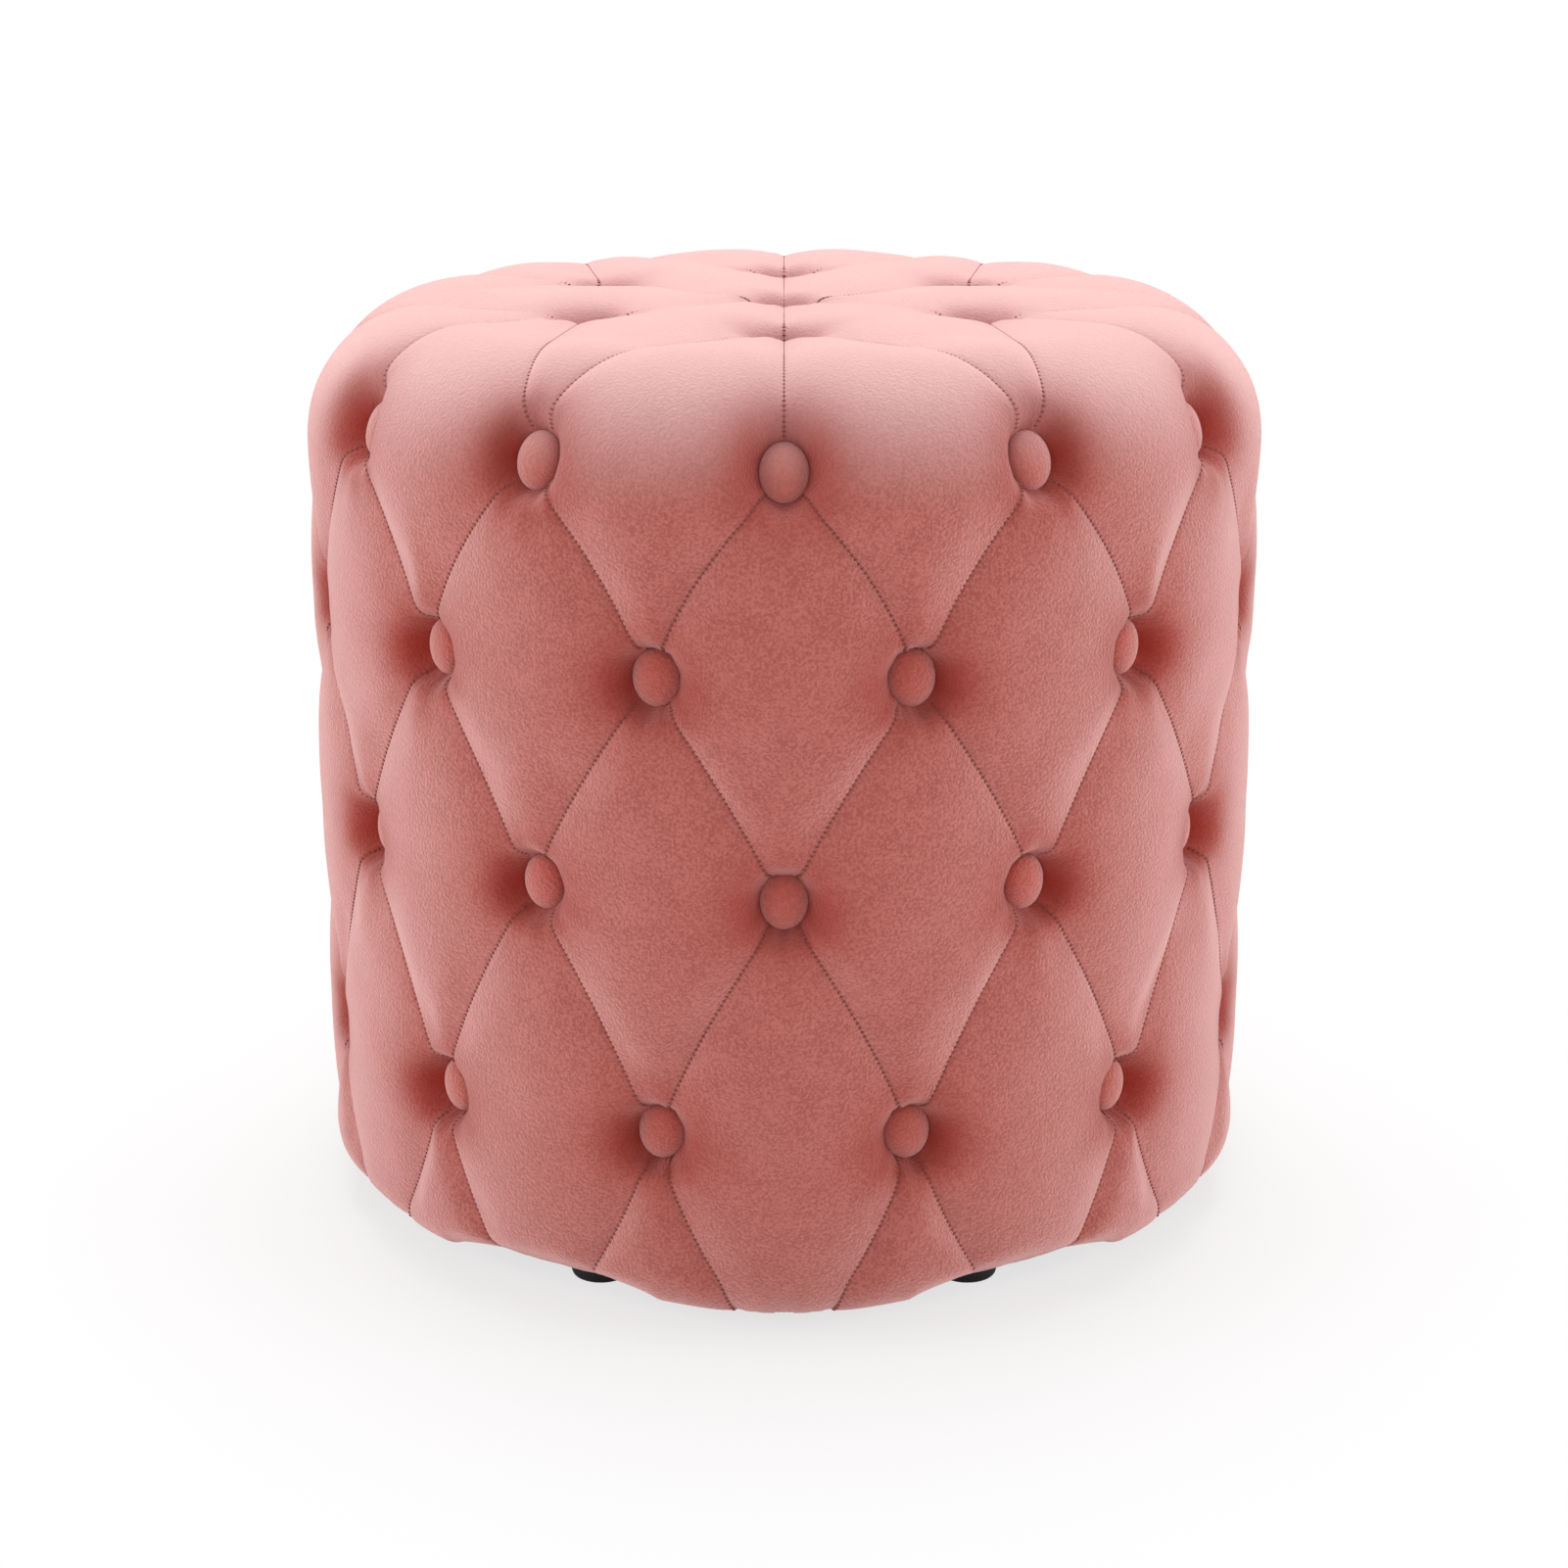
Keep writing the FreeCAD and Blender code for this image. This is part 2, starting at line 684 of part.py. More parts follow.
def hem_triangle():
    """Stations of the triangle under a row 4 button, rounded under at the hem."""
    top = row_4 - button_end
    stations = []
    for run in steps(hem_start, top, 4) + [top]:
        reach = half_width(run) - hem_edge(run) - half_gap
        share = min(swell((run - hem_start) / hem_curl, 0.12, 0.8), swell((top - run) / top * 1.6, 0.25, 0.9))
        stations.append((run, reach, reach, share * 0.85))
    return stations


row_1_radius = skin(row_1)[0]


def shoulder_panel(towards_right):
    """Stations of a panel from row 2 over the shoulder to the ring button on its right or left."""
    ring = sizes.top_ring_radius
    far = row_1_radius * math.cos(half_step)
    near = ring * math.cos(half_step)
    wide = half_width(row_1)
    end = run_at_radius(near + button_end)
    ease = sizes.bend_ease * 4
    stations = half_diamond(row_1, row_2) + widest(row_1, ease)
    close = row_1 + button_end * beside_part
    flat = run_at_slope(90)
    for run in steps(close, flat, 4) + steps(flat, end, 3) + [end]:
        radius, level, slope = skin(run)
        over = (far - radius) / (far - near)
        passed = 0.5 * (over + math.sqrt(over ** 2 + 0.003))
        slanting = wide - (wide + ring * math.sin(half_step)) * passed
        tangent = math.sin(half_step) + (math.tan(half_step) - math.sin(half_step)) * math.sin(slope)
        slanting = beside(slanting, run - row_1, ease)
        straight = beside(radius * tangent, run - row_1, ease)
        share = swell((end - run) / (end - row_1), 0.3, 0.55)
        reach = (slanting, straight) if towards_right else (straight, slanting)
        stations.append((run, reach[0], reach[1], share))
    return stations


def top_kite():
    """Stations of a kite from a row 1 button over the top, between two ring buttons, to the middle."""
    turn = math.pi / TOP_RING_BUTTONS
    corner = sizes.top_ring_radius * math.cos(turn)
    wide = sizes.top_ring_radius * math.sin(turn)
    start = row_1 + button_end
    corner_run = run_at_radius(corner)
    end = run_at_radius(button_end)
    stations = []
    flat = run_at_slope(90)
    before = corner_run - button_end * beside_part
    after = corner_run + button_end * beside_part
    for run in steps(start, flat, 4) + steps(flat, before, 3) + [before]:
        seam = wide * (row_1_radius - skin(run)[0]) / (row_1_radius - corner)
        reach = beside(seam, run - corner_run)
        stations.append((run, reach, reach, swell((run - start) / (corner_run - start), 0.2, 0.8)))
    for run in [corner_run] + steps(after, end, 3) + [end]:
        reach = beside(skin(run)[0] * math.tan(turn), run - corner_run)
        stations.append((run, reach, reach, swell((end - run) / (end - corner_run), 0.25, 0.9)))
    return stations


def turned(shape, angles):
    """Copies of a shape turned round the axis."""
    copies = []
    for angle in angles:
        copy = shape.copy()
        copy.rotate(Vector(0, 0, 0), Vector(0, 0, 1), math.degrees(angle))
        copies.append(copy)
    return copies


every_step = even_angles(BUTTONS_ROUND)
every_second = even_angles(TOP_RING_BUTTONS)
group("velvet_panels_upper", turned(panel(0.0, diamond(row_3, row_2, row_1)), every_step))
group("velvet_panels_middle", turned(panel(half_step, diamond(row_4, row_3, row_2)), every_step))
group("velvet_panels_lower", turned(panel(0.0, hem_diamond()), every_step))
group("velvet_panels_hem", turned(panel(half_step, hem_triangle()), every_step))
left_hand = turned(panel(half_step, shoulder_panel(False)), every_second)
right_hand = turned(panel(-half_step, shoulder_panel(True)), every_second)
group("velvet_panels_shoulder", left_hand + right_hand)
group("velvet_panels_top", turned(panel(2 * half_step, top_kite()), every_second))

# Underside.
dust_blank = raised("dust_blank", ["Levels.dust_radius"], "Sizes.foot_height", "Levels.hem_bottom")
finish(cut("dust", dust_blank, foot_screws, dust_staples), "dust_cover")


def foot_profile(body, corners):
    """A closed outline in the body's upright plane whose corners are bound to the sheets."""
    sketch = body.newObject("Sketcher::SketchObject", body.Name + "_outline")
    sketch.AttachmentSupport = [(role(body, "XZ_Plane"), "")]
    sketch.MapMode = "FlatFace"
    points = [Vector(value(across), value(up), 0) for across, up in corners]
    count = len(points)
    for number in range(count):
        sketch.addGeometry(Part.LineSegment(points[number], points[(number + 1) % count]), False)
    for number in range(count):
        sketch.addConstraint(Sketcher.Constraint("Coincident", number, 2, (number + 1) % count, 1))
    for number, (across, up) in enumerate(corners):
        bound = sketch.addConstraint(
            Sketcher.Constraint("DistanceX", -1, 1, number, 1, points[number].x)
        )
        sketch.setExpression("Constraints[%d]" % bound, across)
        if up == "0":
            sketch.addConstraint(Sketcher.Constraint("PointOnObject", number, 1, -1))
            continue
        bound = sketch.addConstraint(
            Sketcher.Constraint("DistanceY", -1, 1, number, 1, points[number].y)
        )
        sketch.setExpression("Constraints[%d]" % bound, up)
    return sketch


for number, angle in enumerate(foot_angles, start=1):
    label = "foot_%d" % number
    foot = doc.addObject("PartDesign::Body", label + "_body")
    outline = foot_profile(
        foot,
        (
            ("Sizes.foot_bore / 2", "Sizes.foot_recess_depth"),
            ("Sizes.foot_recess_diameter / 2", "Sizes.foot_recess_depth"),
            ("Sizes.foot_recess_diameter / 2", "0"),
            ("Sizes.foot_bottom_diameter / 2", "0"),
            ("Sizes.foot_top_diameter / 2", "Sizes.foot_height"),
            ("Sizes.foot_bore / 2", "Sizes.foot_height"),
        ),
    )
    turned_foot = foot.newObject("PartDesign::Revolution", label + "_turned")
    turned_foot.Profile = outline
    turned_foot.ReferenceAxis = (outline, ["V_Axis"])
    turned_foot.Angle = 360
    doc.recompute()
    rims = [
        "Edge%d" % place
        for place, edge in enumerate(turned_foot.Shape.Edges, start=1)
        if edge.Closed
        and edge.BoundBox.ZMax < 0.01
        and edge.BoundBox.XMax > value("Sizes.foot_bottom_diameter / 2") - 0.1
    ]
    rounding = foot.newObject("PartDesign::Fillet", label + "_rounding")
    rounding.Base = (turned_foot, rims)
    rounding.setExpression("Radius", "Sizes.foot_rounding")
    turn = math.degrees(angle) - 90
    foot.setExpression("Placement.Base.x", "Levels.foot_circle * cos(%f deg)" % turn)
    foot.setExpression("Placement.Base.y", "Levels.foot_circle * sin(%f deg)" % turn)
    finish(foot, label)

doc.recompute()
faults = []
for thing in doc.Objects:
    if "Invalid" in thing.State or "Error" in thing.State:
        faults.append("%s is in state %s" % (thing.Name, thing.State))
for thing in parts:
    if thing.Shape.isNull() or not thing.Shape.isValid() or not thing.Shape.Solids:
        faults.append("%s has no valid solid" % thing.Label)
if faults:
    raise RuntimeError("; ".join(faults))

os.makedirs("parts", exist_ok=True)
for thing in parts:
    thing.Shape.exportStep("parts/%s.step" % thing.Label)
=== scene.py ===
"""Looks of the round deep-buttoned ottoman: velvet pads, stitches, buttons, lining, filling and stage.

Metres. +Z is up, the floor is z = 0 and the drum's axis is x = y = 0. The front faces -Y.
Angles run from the front towards +X. A run is measured up the skin from the hem to the middle of the top.
"""
import math

import bmesh
import bpy
import numpy as np
from mathutils import Matrix, Vector, noise


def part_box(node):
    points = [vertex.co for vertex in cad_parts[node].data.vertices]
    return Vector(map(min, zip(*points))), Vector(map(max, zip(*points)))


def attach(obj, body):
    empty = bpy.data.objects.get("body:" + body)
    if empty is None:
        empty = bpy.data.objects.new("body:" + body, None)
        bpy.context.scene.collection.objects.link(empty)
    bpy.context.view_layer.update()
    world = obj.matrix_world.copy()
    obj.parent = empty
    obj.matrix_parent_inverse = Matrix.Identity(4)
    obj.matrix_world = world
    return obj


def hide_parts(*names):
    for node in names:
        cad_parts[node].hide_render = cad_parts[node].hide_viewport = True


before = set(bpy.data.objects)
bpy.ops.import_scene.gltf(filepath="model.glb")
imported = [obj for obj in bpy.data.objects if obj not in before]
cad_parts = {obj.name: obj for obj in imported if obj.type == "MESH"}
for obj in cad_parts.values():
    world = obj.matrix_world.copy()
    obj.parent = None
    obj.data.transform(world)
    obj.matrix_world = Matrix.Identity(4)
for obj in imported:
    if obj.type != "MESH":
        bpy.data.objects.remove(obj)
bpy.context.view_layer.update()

bl_info = {
    "name": "Deep-buttoned ottoman",
    "version": (1, 0, 0),
    "blender": (4, 5, 0),
    "location": "View3D > Sidebar > Ottoman",
    "description": "Dresses the ottoman's solids in buttoned velvet and sets a plain studio stage",
    "category": "Object",
}

# Skin: a surface through the foot of the seams, just outside the lining.
LINING_LOW, LINING_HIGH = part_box("cover_lining")
SEAM_FLOOR = 0.004
LINING_RADIUS = LINING_HIGH[0]
SEAM_RADIUS = LINING_RADIUS + SEAM_FLOOR
SEAM_TOP = LINING_HIGH[2] + SEAM_FLOOR
HEM_BOTTOM = LINING_LOW[2]
BEND = 0.045
FLAT_RADIUS = SEAM_RADIUS - BEND
SHOULDER_LEVEL = SEAM_TOP - BEND
SIDE_RUN = SHOULDER_LEVEL - HEM_BOTTOM
BEND_RUN = BEND * math.pi / 2
TOP_RUN = SIDE_RUN + BEND_RUN
MIDDLE_RUN = TOP_RUN + FLAT_RADIUS
DRUM_MIDDLE = 0.2

# Hem: it turns under, sags at the front and is drawn up over each foot.
HEM_CURL = 0.012
HEM_END = -0.010
HEM_APEX_DROP = 0.119
HEM_ROUNDING = 0.017
HEM_LOWEST = 0.0158
HEM_FRONT_SAG = 0.0058
SAG_POWER = 40
HEM_FOOT_LIFT = 0.0085
LIFT_POWER = 0.7
HEM_THINNEST = 0.0004
NO_CAP = 1.0
FEET = 6
POSTS = 6

# Buttons, and how far the seams between them bow as a share of their width.
BUTTONS_ROUND = 12
RING_BUTTONS = 6
STEP = 2 * math.pi / BUTTONS_ROUND
ON_ROWS = [STEP * k for k in range(BUTTONS_ROUND)]
BETWEEN = [STEP * (k + 0.5) for k in range(BUTTONS_ROUND)]
RING_ANGLES = [2 * STEP * k for k in range(RING_BUTTONS)]
ROW_1_SLOPE = math.radians(20)
ROW_2_DROP = 0.074
ROW_3_DROP = 0.098
ROW_4_LEVEL = 0.095
RING_RADIUS = 0.103
ROW_1 = SIDE_RUN + BEND * ROW_1_SLOPE
ROW_2 = SIDE_RUN - ROW_2_DROP
ROW_3 = ROW_2 - ROW_3_DROP
ROW_4 = ROW_4_LEVEL - HEM_BOTTOM
RING = MIDDLE_RUN - RING_RADIUS
BOW_1, BOW_2, BOW_3, BOW_HEM = 0.13, 0.06, 0.07, -0.09

# Pads: a grid each, with one of its lines at the corner of the hem.
GRID = 32
EVEN_SHARE = 0.35
HEM_CORNER = 25
SEAM_INSET = 0.0008
FULL_BREADTH = 2.6
FULL_SLOPE = 0.75
SWELLS_PER_METRE = 22
PAD_UNEVEN = 0.0008
BACK = -0.0033
BACK_AT_HEM = -0.03
BACK_RINGS = (1.0, 0.62, 0.28, 0.0)

# Dimples: how the pads meet a button, and how far the painted shade beside it reaches.
BUTTON_SEAT = -0.0022
DIMPLE_NARROWING = 0.3
DIMPLE_BLEND = 0.005
HEM_BLEND = 0.003
PUCKER_DEPTH = 0.0010
PUCKER_REACH = 0.010
PUCKERS_ROUND = 9
PUCKER_SHIFT = 90
# Painted shade beside the buttons: its reach, its fall-off, how much it favours a button's sides, and its
# share on the top.
PAINTED_SHADE_REACH = 0.014
PAINTED_SHADE_POWER = 1.5
PAINTED_SHADE_SIDEWAYS = 0.45
PAINTED_SHADE_ON_TOP = 0.35

# Cloth
CLOTH_FRAMES = 20
CLOTH_CALM = 3
CLOTH_CAP = 0.0035
HELD_BY_BUTTON = 0.002

# Covered buttons
CAP_SUNK = 0.0025
CAP_DOME = 0.75
CAP_TUCK = 0.12
CAP_UNDERSIDE = 0.001

# Stitches
SEAM_STEPS = 240
STITCH_LENGTH = 0.0017
STITCH_TAPER = 0.6
STITCH_PROUD = 0.0003
STITCH_SUNK = 0.0005
STITCH_CLEAR = 0.001

# Lining and filling
LINING_THICK = 0.008
LINING_CURL = 0.009
HEM_THICK = 0.003
HEM_INNER_RADIUS = 0.165
WADDING_THICK = 0.004
FOAM_THICK = 0.032
SEAT_WELL_RADIUS = 0.1401
SEAT_RIM = 0.009
SEAT_CHAMFER = 0.003
NOISE_SEED = 1

# Dust cover
DUST_SIDES = 96
DUST_RINGS = 24
DUST_STAPLES = 24
DUST_SAG = 0.00018
PLEAT_DEPTH = 0.00022
PLEAT_START = 0.375

# Stage: the camera's focal length is in pixels of the photo's width.
PHOTO_WIDTH = 1601
PHOTO_FOCAL = 3123
SENSOR_WIDTH = 36
CAMERA_PLACE = (0, -1.459, 0.635)
CAMERA_DOWN = math.radians(16.8)
LAMP_AIM = (0, 0, 0.24)
WORLD_LIGHT = 0.26
FLOOR_WIDTH = 14
SHADOW_REACH = (0.2, 0.6)
SHADOW_PALED = 0.7
WHITE = (1, 1, 1, 1)


def linear(code):
    """Linear colour, with alpha, of an sRGB hex code."""
    parts = [int(code[i:i + 2], 16) / 255 for i in (1, 3, 5)]
    return tuple(c / 12.92 if c <= 0.04045 else ((c + 0.055) / 1.055) ** 2.4 for c in parts) + (1.0,)


def colour(name, description, code):
    """A colour that a user may change."""
    return bpy.props.FloatVectorProperty(
        name=name, description=description, default=linear(code), subtype="COLOR", size=4, min=0, max=1)


def length(name, description, default):
    """A length that a user may change."""
    return bpy.props.FloatProperty(
        name=name, description=description, default=default, unit="LENGTH", subtype="DISTANCE", precision=4)


class OttomanSizes(bpy.types.PropertyGroup):
    """Sizes of the soft pieces."""
    pad_height: length("Pad height", "Fullest part of a pad over the seam skin", 0.0168)
    seam_rise: length("Seam rise", "Height of a side seam half-way between two buttons", 0.0106)
    top_seam_rise: length("Top seam rise", "Height of a top seam half-way between two buttons", 0.0128)
    dimple_depth: length("Dimple depth", "How far a button draws the pads down", 0.0215)
    dimple_reach: length("Dimple reach", "How far from a button the pads rise again", 0.0074)
    button_width: length("Button width", "Covered button, round the drum", 0.021)
    button_tall: length("Button height", "Covered button, up the drum", 0.026)
    button_rise: length("Button rise", "Thickness of the covered button", 0.0072)
    stitch_pitch: length("Stitch pitch", "Distance from stitch to stitch", 0.0024)
    stitch_thread: length("Stitch thread", "Thickness of the sewing thread", 0.0008)


class OttomanColours(bpy.types.PropertyGroup):
    """Colours of the materials."""
    velvet: colour("Velvet", "Pile seen from above", "#b4675f")
    velvet_shade: colour("Velvet shade", "Pile brushed the other way", "#9f524a")
    # Painted shade: the colour of the wells beside the buttons.
    velvet_painted_shade: colour("Pressed velvet", "Pile pressed down beside the buttons", "#93281a")
    velvet_button: colour("Button velvet", "Pile stretched over the buttons", "#b4584d")
    # Painted light: the shoulder and the top, paled where the top lamp falls.
    velvet_painted_light: colour("Open velvet", "Pile that stands open on the shoulder and the top", "#e0bdbb")
    # Painted sheen: the velvet's colour where it is seen at a slant.
    velvet_painted_sheen: colour("Velvet tips", "Sides of the pile, seen along the surface", "#efc2c0")
    velvet_sheen: colour("Velvet sheen", "Light that the pile tips scatter", "#f8cdc9")
    thread: colour("Thread", "Sewing thread in the seams", "#8a3c32")
    lining: colour("Lining", "Quilted backing cloth and turned-under hem", "#b5746b")
    wadding: colour("Wadding", "Polyester fibre", "#f0eee8")
    foam: colour("Foam", "Cut polyurethane foam", "#ece0b4")
    plywood: colour("Plywood", "Rotary-cut birch face", "#d2b184")
    softwood: colour("Softwood", "Planed spruce", "#dcbc8a")
    fibreboard: colour("Fibreboard", "Smooth brown hardboard", "#7d5a3b")
    steel: colour("Steel", "Zinc-plated screws, nails and staples", "#b9bcc0")
    twine: colour("Twine", "Waxed flax twine", "#c9b48c")
    washer: colour("Washer", "Moulded nylon", "#e6e4dc")
    foot: colour("Foot", "Moulded black plastic", "#171517")
    dust_cloth: colour("Dust cloth", "Black spun-bonded cloth", "#1b1b1d")


def sizes():
    """The sizes as they are set now."""
    return bpy.context.scene.ottoman_sizes


def colours():
    """The colours as they are set now."""
    return bpy.context.scene.ottoman_colours


# The skin, and the places on it.

def skin(run):
    """Radius, height and lean of the outward direction at each run."""
    run = np.asarray(run, dtype=float)
    curl = np.clip((HEM_CURL - run) / HEM_CURL, 0, math.pi / 2)
    slope = np.clip((run - SIDE_RUN) / BEND, 0, math.pi / 2)
    under = np.clip(HEM_CURL * (1 - math.pi / 2) - run, 0, None)
    over = np.clip(run - SIDE_RUN - BEND_RUN, 0, None)
    straight = np.clip(run, HEM_CURL, SIDE_RUN)
    radius = (SEAM_RADIUS - HEM_CURL * (1 - np.cos(curl)) - under
              - BEND * (1 - np.cos(slope)) - over)
    level = HEM_BOTTOM + straight - HEM_CURL * np.sin(curl) + BEND * np.sin(slope)
    return radius, level, slope - curl


def on_skin(angle, run, height):
    """Points at a height over the skin."""
    radius, level, lean = skin(run)
    reach = radius + height * np.cos(lean)
    return np.stack((reach * np.sin(angle), -reach * np.cos(angle), level + height * np.sin(lean)), axis=-1)


def under_skin(points):
    """Angle and run of the places on the skin below some points."""
    x, y, z = points[:, 0], points[:, 1], points[:, 2]
    angle = np.arctan2(x, -y)
    radius = np.hypot(x, y)
    slope = np.arctan2(z - SHOULDER_LEVEL, np.maximum(radius - FLAT_RADIUS, 1e-9))
    curl_radius, curl_level = SEAM_RADIUS - HEM_CURL, HEM_BOTTOM + HEM_CURL
    curl = np.arctan2(curl_level - z, np.maximum(radius - curl_radius, 1e-9))
    run = np.where(z > SHOULDER_LEVEL, SIDE_RUN + BEND * slope, z - HEM_BOTTOM)
    run = np.where((z > SHOULDER_LEVEL) & (radius < FLAT_RADIUS), MIDDLE_RUN - radius, run)
    run = np.where(z < curl_level, HEM_CURL * (1 - curl), run)
    run = np.where((z < curl_level) & (radius < curl_radius),
                   HEM_CURL * (1 - math.pi / 2) - (curl_radius - radius), run)
    return angle, run


def to_plan(places):
    """Angle and run laid out flat round the middle of the top."""
    angle, run = places[..., 0], places[..., 1]
    reach = MIDDLE_RUN - run
    return np.stack((reach * np.sin(angle), -reach * np.cos(angle)), axis=-1)


def from_plan(plan):
    """Angle and run of places laid out flat."""
    reach = np.hypot(plan[..., 0], plan[..., 1])
    return np.stack((np.arctan2(plan[..., 0], -plan[..., 1]), MIDDLE_RUN - reach), axis=-1)


# Seams, and the pads between them.

def seam(start, end, bow=0.0):
    """A seam between two buttons. It may bow away from the column of the higher one."""
    start, end = np.array(start), np.array(end)
    sideways = bow * (end - start) * (1 if start[1] > end[1] else -1) * np.array((1, 0))

    def place(t):
        t = np.asarray(t)[..., None]
        return start + (end - start) * t + sideways * np.sin(math.pi * t)
    return place


def plan_seam(start, end):
    """A seam that runs straight when laid out flat."""
    start, end = to_plan(np.array(start)), to_plan(np.array(end))
    return lambda t: from_plan(start + (end - start) * np.asarray(t)[..., None])


def bent_seam(start, corner, end, share):
    """A seam down to the hem and on along the hem."""
    down = seam(start, corner, BOW_HEM)
    along = np.array(end) - np.array(corner)

    def place(t):
        t = np.asarray(t)
        return down(np.clip(t / share, 0, 1)) + along * np.clip((t - share) / (1 - share), 0, 1)[..., None]
    return place


def hem_reach(run):
    """Half the angle of a hem diamond at a run below row 4."""
    return STEP / 2 * (1 - (ROW_4 - run) / HEM_APEX_DROP)


def diamond(angle, top, side, bottom, upper_bow, lower_bow):
    """Edges and buttons of a whole diamond."""
    high, low = (angle, top), (angle, bottom)
    left, right = (angle - STEP / 2, side), (angle + STEP / 2, side)
    edges = (seam(high, right, upper_bow), seam(left, low, lower_bow),
             seam(high, left, upper_bow), seam(right, low, lower_bow))
    return edges, (high, right, left, low)


def hem_diamond(angle):
    """Edges and buttons of a diamond that the hem cuts off."""
    high, hem = (angle, ROW_3), (angle, HEM_END)
    left, right = (angle - STEP / 2, ROW_4), (angle + STEP / 2, ROW_4)
    reach = hem_reach(HEM_END)
    share = inset(spaced(GRID))[HEM_CORNER]
    edges = (seam(high, right, BOW_3), bent_seam(left, (angle - reach, HEM_END), hem, share),
             seam(high, left, BOW_3), bent_seam(right, (angle + reach, HEM_END), hem, share))
    return edges, (high, right, left)


def hem_triangle(angle):
    """Edges and button of the piece between two hem diamonds."""
    high, hem = (angle, ROW_4), (angle, HEM_END)
    reach = STEP / 2 - hem_reach(HEM_END)
    left, right = (angle - reach, HEM_END), (angle + reach, HEM_END)
    edges = (seam(high, right, BOW_HEM), seam(left, hem), seam(high, left, BOW_HEM), seam(right, hem))
    return edges, (high,)


def shoulder(ring_angle, way):
    """Edges and buttons of a pad from row 2 over the shoulder to a ring button on its left or right."""
    low = (ring_angle + way * STEP / 2, ROW_2)
    near, far = (ring_angle, ROW_1), (ring_angle + way * STEP, ROW_1)
    high = (ring_angle, RING)
    edges = (seam(low, far, BOW_1), seam(near, high), seam(low, near, BOW_1), plan_seam(far, high))
    return edges, (low, near, far, high)


def kite(angle):
    """Edges and buttons of a pad on the top, from a row 1 button to the middle."""
    low, middle = (angle, ROW_1), (angle, MIDDLE_RUN)
    left, right = (angle - STEP, RING), (angle + STEP, RING)
    edges = (plan_seam(low, right), plan_seam(left, middle), plan_seam(low, left), plan_seam(right, middle))
    return edges, (low, right, left, middle)


def spaced(count):
    """Steps from 0 to 1, closer together at both ends."""
    even = np.linspace(0, 1, count + 1)
    return EVEN_SHARE * even + (1 - EVEN_SHARE) * (1 - np.cos(math.pi * even)) / 2


def inset(t):
    """Steps across a pad, drawn in from its seams so that two pads don't touch."""
    return SEAM_INSET + (1 - 2 * SEAM_INSET) * t


def inside(edges, t, flat):
    """Grid of places inside four edges. The first two run along the rows, the others along the columns."""
    shape = (lambda p: p) if flat else to_plan
    low, high, left, right = [lambda t, e=e: shape(e(t)) for e in edges]
    u, v = t[:, None, None], t[None, :, None]
    ruled = (1 - v) * low(t)[:, None] + v * high(t)[:, None] + (1 - u) * left(t)[None] + u * right(t)[None]
    ends = np.array([0.0, 1.0])
    low_end, high_end = low(ends), high(ends)
    corners = ((1 - u) * (1 - v) * low_end[0] + u * (1 - v) * low_end[1]
               + (1 - u) * v * high_end[0] + u * v * high_end[1])
    places = ruled - corners
    return places if flat else from_plan(places)


# Heights of the pads over the skin.

def button_frame(button):
    """Foot of a button on the skin, with its directions round the drum, up it and outwards."""
    angle, run = button
    radius, level, lean = (float(value) for value in skin(run))
    out = Vector((math.sin(angle) * math.cos(lean), -math.cos(angle) * math.cos(lean), math.sin(lean)))
    around = Vector((math.cos(angle), math.sin(angle), 0))
    foot = Vector((radius * math.sin(angle), -radius * math.cos(angle), level))
    return foot, around, out.cross(around), out


def button_gap(points, buttons):
    """Distance of skin points from the nearest button's oval, and their bearing from it."""
    wide, tall = sizes().button_width / 2, sizes().button_tall / 2
    best = np.full(points.shape[:-1], 1.0)
    bearing = np.zeros(points.shape[:-1])
    for button in buttons:
        foot, around, up, out = button_frame(button)
        away = points - np.array(foot)
        x, y = away @ np.array(around), away @ np.array(up)
        depth = away @ np.array(out)
        oval = np.sqrt((x / wide) ** 2 + (y / tall) ** 2) + 1e-9
        gap = np.sqrt(x ** 2 + y ** 2 + depth ** 2) * (1 - 1 / oval)
        nearer = gap < best
        best = np.where(nearer, gap, best)
        bearing = np.where(nearer, np.arctan2(y, x), bearing)
    return np.maximum(best, 0), bearing


def soft_min(a, b, blend):
    """The lower of two heights, with a rounded change-over."""
    mixed = np.clip(0.5 + 0.5 * (b - a) / blend, 0, 1)
    return b + (a - b) * mixed - blend * mixed * (1 - mixed)


def full(t):
    """Fullness of a pad from seam to seam: sloped beside the seams, broad in the middle."""
    return np.clip(1 - np.abs(2 * t - 1) ** FULL_BREADTH, 0, 1) ** FULL_SLOPE


def seam_height(run):
    """Height of the seams over the skin: deep on the side, shallow on the top."""
    look = sizes()
    share = np.clip((run - SIDE_RUN) / BEND_RUN, 0, 1)
    return look.seam_rise + (look.top_seam_rise - look.seam_rise) * share ** 2 * (3 - 2 * share)


def hem_cap(angle, run):
    """Height over the skin of the round that the hem makes as it turns under."""
    radius, level, lean = skin(run)
    at_front = np.clip(np.cos(angle), 0, 1) ** SAG_POWER
    at_foot = np.clip(-np.cos(FEET * angle), 0, 1) ** LIFT_POWER
    lowest = HEM_LOWEST - HEM_FRONT_SAG * at_front + HEM_FOOT_LIFT * at_foot
    middle_radius = SEAM_RADIUS + sizes().pad_height - HEM_ROUNDING
    away_radius, away_level = radius - middle_radius, level - (lowest + HEM_ROUNDING)
    along = away_radius * np.cos(lean) + away_level * np.sin(lean)
    inside_round = np.maximum(along ** 2 - (away_radius ** 2 + away_level ** 2 - HEM_ROUNDING ** 2), 0)
    cap = -along + np.sqrt(inside_round)
    return np.where(level < lowest + HEM_ROUNDING, np.maximum(cap, HEM_THINNEST), NO_CAP)


